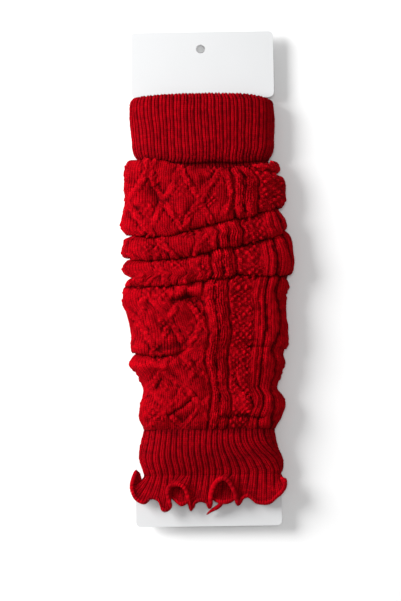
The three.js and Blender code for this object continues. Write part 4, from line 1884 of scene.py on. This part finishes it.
@dataclass
class FlutedHem(RibbedTube):
    """The lettuce hem: ribbing that runs out into flutes, with a rolled overlocked edge."""

    part: str = "ruffle"
    pattern: RibPattern = RibPattern(valley=1.45, furrow=0.6)
    columns: Columns = Columns(25, 12, 6)
    cut: tuple[float, float] = (270.0, 24.0)
    top: float = -151.3
    top_rise: float = 0.3
    least_clear: float = 0.3  # between the surface and the hem's back
    rows_down: int = 26
    rim: float = 1.9  # radius of the rolled edge
    rim_rows: int = 9
    rim_turn: tuple[float, float] = (-0.15, 1.15)  # in half turns, from outside to inside
    bead: float = 1.9  # mm along the edge between two overlock stitches
    bead_rise: float = 0.09
    edge: tuple[HemPoint, ...] = ()
    back_y: float = -167.0
    back_reach: float = 4.0
    back_flutes: int = 5
    back_lift: float = 2.2
    dips: tuple[tuple[float, float], ...] = ()  # arc and depth where it dips before it turns up
    dip_half: float = 2.6
    tail: YarnTail | None = None

    SPREAD_X = 1.25  # the flutes swing out late on the way down, and lift later still
    SPREAD_Z = 1.5
    RIBS_LEFT = 0.1  # the share of the ribs that is left at the edge
    RIBS_FADE = 1.6

    def back_edge(self, girth: float) -> list[HemPoint]:
        """Makes the even flutes of the edge's hidden back.

        Args:
            girth: Distance once round the tube.

        Returns:
            Its points, from the right side back to the left.
        """
        first, last = self.edge[0], self.edge[-1]
        steps = np.arange(1, 4 * self.back_flutes) / (4 * self.back_flutes)
        return [
            HemPoint(
                arc=last.arc + girth / 2 * step,
                x=mix(last.x, first.x, step),
                y=self.back_y + self.back_reach * math.cos(math.tau * self.back_flutes * step),
                lift=-self.back_lift * (1 + math.cos(math.tau * self.back_flutes * step)) / 2,
            )
            for step in steps
        ]

    def edge_points(self, loop: Loop) -> Array:
        """Finds where the hem's edge is.

        Args:
            loop: The columns.

        Returns:
            x, y and height above the tube at each column.
        """
        ring = [*self.edge, *self.back_edge(loop.girth)]
        knots = np.array(
            [
                (point.arc + turn * loop.girth, point.x, point.y, point.lift)
                for turn in (-1, 0, 1)
                for point in ring
            ]
        )
        at = loop.arc + self.drift(loop, self.top)
        return np.stack([rounded_curve(knots[:, 0], knots[:, i], at) for i in (1, 2, 3)], axis=-1)

    def middle(self, loop: Loop, t: Array) -> Array:
        """Places the cloth's middle between the ankle and the edge.

        Args:
            loop: The columns.
            t: How far down each row is, 0 to 1.

        Returns:
            The points, rows by columns by three.
        """
        edge = self.edge_points(loop)
        flat = np.ones((1, len(loop.x)))
        placed = loop.turned(self.drift(loop, self.top)[None])
        base = self.tube.points(placed, self.top * flat, self.top_rise * flat)[0]
        dip = sum(depth * bell(loop.arc - arc, self.dip_half) for arc, depth in self.dips)
        dip = dip * np.sin(math.pi * t)
        x = mix(base[:, 0], edge[:, 0] + self.tube.centre_x, t**self.SPREAD_X)
        y = mix(base[:, 1], edge[:, 1], t) - dip
        z = base[:, 2] + edge[:, 2] * t**self.SPREAD_Z - dip / 2
        return np.stack([x, y, np.maximum(z, self.wall / 2 + self.least_clear)], axis=-1)

    def rolled_edge(self, end: Array, down: Array, normal: Array) -> Array:
        """Rolls the hem's edge in its wound thread.

        Args:
            end: The edge of the cloth's middle, columns by three.
            down: The direction in which the cloth ends at each column.
            normal: Its outward direction.

        Returns:
            The points of the roll, rows by columns by three.
        """
        beads = self.bead_rise * np.sin(math.tau * path_down(end) / self.bead)
        radius = (self.rim + beads)[None, :, None]
        angles = (np.linspace(*self.rim_turn, self.rim_rows) * math.pi)[:, None, None]
        return end + radius * (np.cos(angles) * normal + np.sin(angles) * down)

    def build(self) -> bpy.types.Object:
        """Returns the finished hem."""
        loop = self.columns.loop()
        t = (np.arange(self.rows_down + 1) / self.rows_down)[:, None]
        middle = self.middle(loop, t)
        down = unit(middle[-1] - middle[-2])
        along = np.roll(middle[-1], -1, axis=0) - np.roll(middle[-1], 1, axis=0)
        normal = normals_of(middle)
        normal[-1] = unit(np.cross(down, along))
        places = self.columns.places()
        ribs = self.pattern.height(places[:-1]) * mix(1.0, self.RIBS_LEFT, t**self.RIBS_FADE)
        outside, inside = self.faces(middle, normal, ribs)
        rim = self.rolled_edge(middle[-1], down, normal[-1])
        courses = path_down(middle) / self.pattern.course
        kept = [*range(self.rows_down - 1, 0, -2), 0]
        shell = ClothShell(f"{self.name}_knit")
        # painted shade in the rib valleys, painted highlight on the ribs
        shell.add_rows(outside[:-1], courses[:-1], hollows_of(ribs)[:-1])
        shell.add_rows(rim, np.full(rim.shape[:2], ClothShell.WOUND))
        shell.add_rows(inside[kept], courses[kept])
        hem = shell.build(places * self.pattern.WALES)
        if self.tail:
            self.tail.join_to(hem, self.tube.centre_x)
        return self.dress(hem)


@dataclass
class Card:
    """The blank display card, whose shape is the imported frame's own."""

    finish: bpy.types.Material
    node: str = "card"

    def dress(self) -> None:
        """Gives the card its board finish."""
        board = bpy.data.objects[self.node]
        if not board.material_slots:
            board.data.materials.append(self.finish)
        for slot in board.material_slots:
            slot.material = self.finish
        LOG.info("%s: dressed", self.node)


# ---- Studio -------------------------------------------------------------------------------


@dataclass(frozen=True)
class SoftBox:
    """One area light that is aimed at the part."""

    name: str
    place: tuple[float, float, float]  # metres
    size: float
    power: float

    def build(self) -> None:
        """Adds the light."""
        lamp = bpy.data.lights.new(self.name, "AREA")
        lamp.shape, lamp.size, lamp.energy = "DISK", self.size, self.power
        light = bpy.data.objects.new(self.name, lamp)
        light.location = self.place
        light.rotation_euler = Vector(self.place).to_track_quat("Z", "Y").to_euler()
        bpy.context.collection.objects.link(light)


@dataclass(frozen=True)
class Studio:
    """The table, the lights and the camera."""

    look_at: tuple[float, float, float] = (-5.8, -19.3, 14.0)  # mm
    distance: float = 1271.0
    lean: float = 5.3  # degrees that the camera stands towards the hem's end
    roll: float = 0.83  # degrees
    lens: float = 100.0
    sensor: float = 36.0
    nearest: float = 0.01  # metres that the camera sees from and to
    farthest: float = 50.0
    table_size: float = 8.0  # metres
    room_light: float = 0.32
    lights: tuple[SoftBox, ...] = (
        SoftBox("key", (-0.98, 0.34, 0.57), 0.76, 25.0),
        SoftBox("overhead", (0.0, 0.0, 2.5), 0.7, 15.0),
    )

    def build_table(self) -> None:
        """Adds the table top that the part lies on."""
        bpy.ops.object.select_all(action="DESELECT")
        bpy.ops.mesh.primitive_plane_add(size=self.table_size, location=(0.0, 0.0, 0.0))
        table = bpy.context.object
        table.name = "table_top"
        table.data.materials.append(MattTable().build())

    def build_camera(self) -> None:
        """Adds the camera, square over the part and a little towards the hem."""
        lean, roll = math.radians(self.lean), math.radians(self.roll)
        target = Vector(self.look_at) * MM
        backwards = Vector((0.0, -math.sin(lean), math.cos(lean)))
        upwards = Vector((math.sin(roll), math.cos(roll), 0.0))
        sideways = upwards.cross(backwards).normalized()
        upwards = backwards.cross(sideways)
        lens = bpy.data.cameras.new("camera")
        lens.sensor_fit, lens.sensor_height, lens.lens = "VERTICAL", self.sensor, self.lens
        lens.clip_start, lens.clip_end = self.nearest, self.farthest
        camera = bpy.data.objects.new("camera", lens)
        turned = Matrix((sideways, upwards, backwards)).transposed().to_4x4()
        camera.matrix_world = Matrix.Translation(target + backwards * self.distance * MM) @ turned
        bpy.context.collection.objects.link(camera)
        bpy.context.scene.camera = camera

    def build(self) -> None:
        """Adds everything that isn't part of the object."""
        self.build_table()
        self.build_camera()
        for light in self.lights:
            light.build()
        world = bpy.data.worlds.new("studio")
        world.use_nodes = True
        room = world.node_tree.nodes["Background"]
        room.inputs[0].default_value = (1.0, 1.0, 1.0, 1.0)
        room.inputs[1].default_value = self.room_light
        bpy.context.scene.world = world
        bpy.context.scene.view_settings.view_transform = "Standard"


# ---- Assembly -----------------------------------------------------------------------------


@dataclass
class LegWarmer:
    """One leg warmer, from its cuff to its hem."""

    cuff: TopCuff
    leg: CableLeg
    ankle: AnkleRib
    hem: FlutedHem

    @classmethod
    def outer(cls, knit: bpy.types.Material, rib: bpy.types.Material) -> "LegWarmer":
        """Makes the one that shows.

        Args:
            knit: The finish of its leg.
            rib: The finish of its ribbing.

        Returns:
            Its pieces, not built yet.
        """
        tube = FlatTube.from_frame(Layer.OUTER, FRAME_WALL)
        return cls(
            TopCuff(tube, rib),
            CableLeg(tube, knit),
            AnkleRib(tube, rib),
            FlutedHem(tube, rib, edge=OUTER_EDGE, dips=((-57.4, 5.5), (60.0, 4.0))),
        )

    @classmethod
    def inner(cls, knit: bpy.types.Material, rib: bpy.types.Material) -> "LegWarmer":
        """Makes the one inside it, with fewer points, since only its hem shows.

        Args:
            knit: The finish of its leg.
            rib: The finish of its ribbing.

        Returns:
            Its pieces, not built yet.
        """
        tube = FlatTube.from_frame(Layer.INNER, FRAME_WALL)
        return cls(
            TopCuff(tube, rib, cut=(206.0, 61.0), short=2.5, columns=Columns(22, 6, 3), step=1.6),
            HiddenLeg(tube, knit),
            AnkleRib(tube, rib, cut=(200.0, 37.0), columns=Columns(25, 6, 3), step=2.0),
            FlutedHem(
                tube,
                rib,
                edge=INNER_EDGE,
                cut=(240.0, 18.0),
                back_y=-160.5,
                back_reach=2.5,
                back_lift=0.0,
                tail=YarnTail(),
            ),
        )

    def build(self) -> None:
        """Makes and dresses its four pieces, from the top down."""
        for piece in (self.cuff, self.leg, self.ankle, self.hem):
            piece.build()


def main() -> None:
    """Builds the pair on its card, piece by piece."""
    logging.basicConfig(level=logging.INFO, format="%(name)s %(message)s")
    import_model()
    knit = WoolBlendKnit().build()
    # painted shade: the ribbing's copy of the yarn is darker, for the shade that tight ribbing keeps, and
    # reads a little deeper
    rib = WoolBlendKnit("wool_blend_rib_painted_shade", lit_yarn="B20010", mid_yarn="76000A", painted_highlight_yarn="E0051A").build()
    Card(CoatedBoard().build()).dress()
    LegWarmer.outer(knit, rib).build()
    LegWarmer.inner(knit, rib).build()
    Studio().build()


if __name__ == "__main__":
    main()
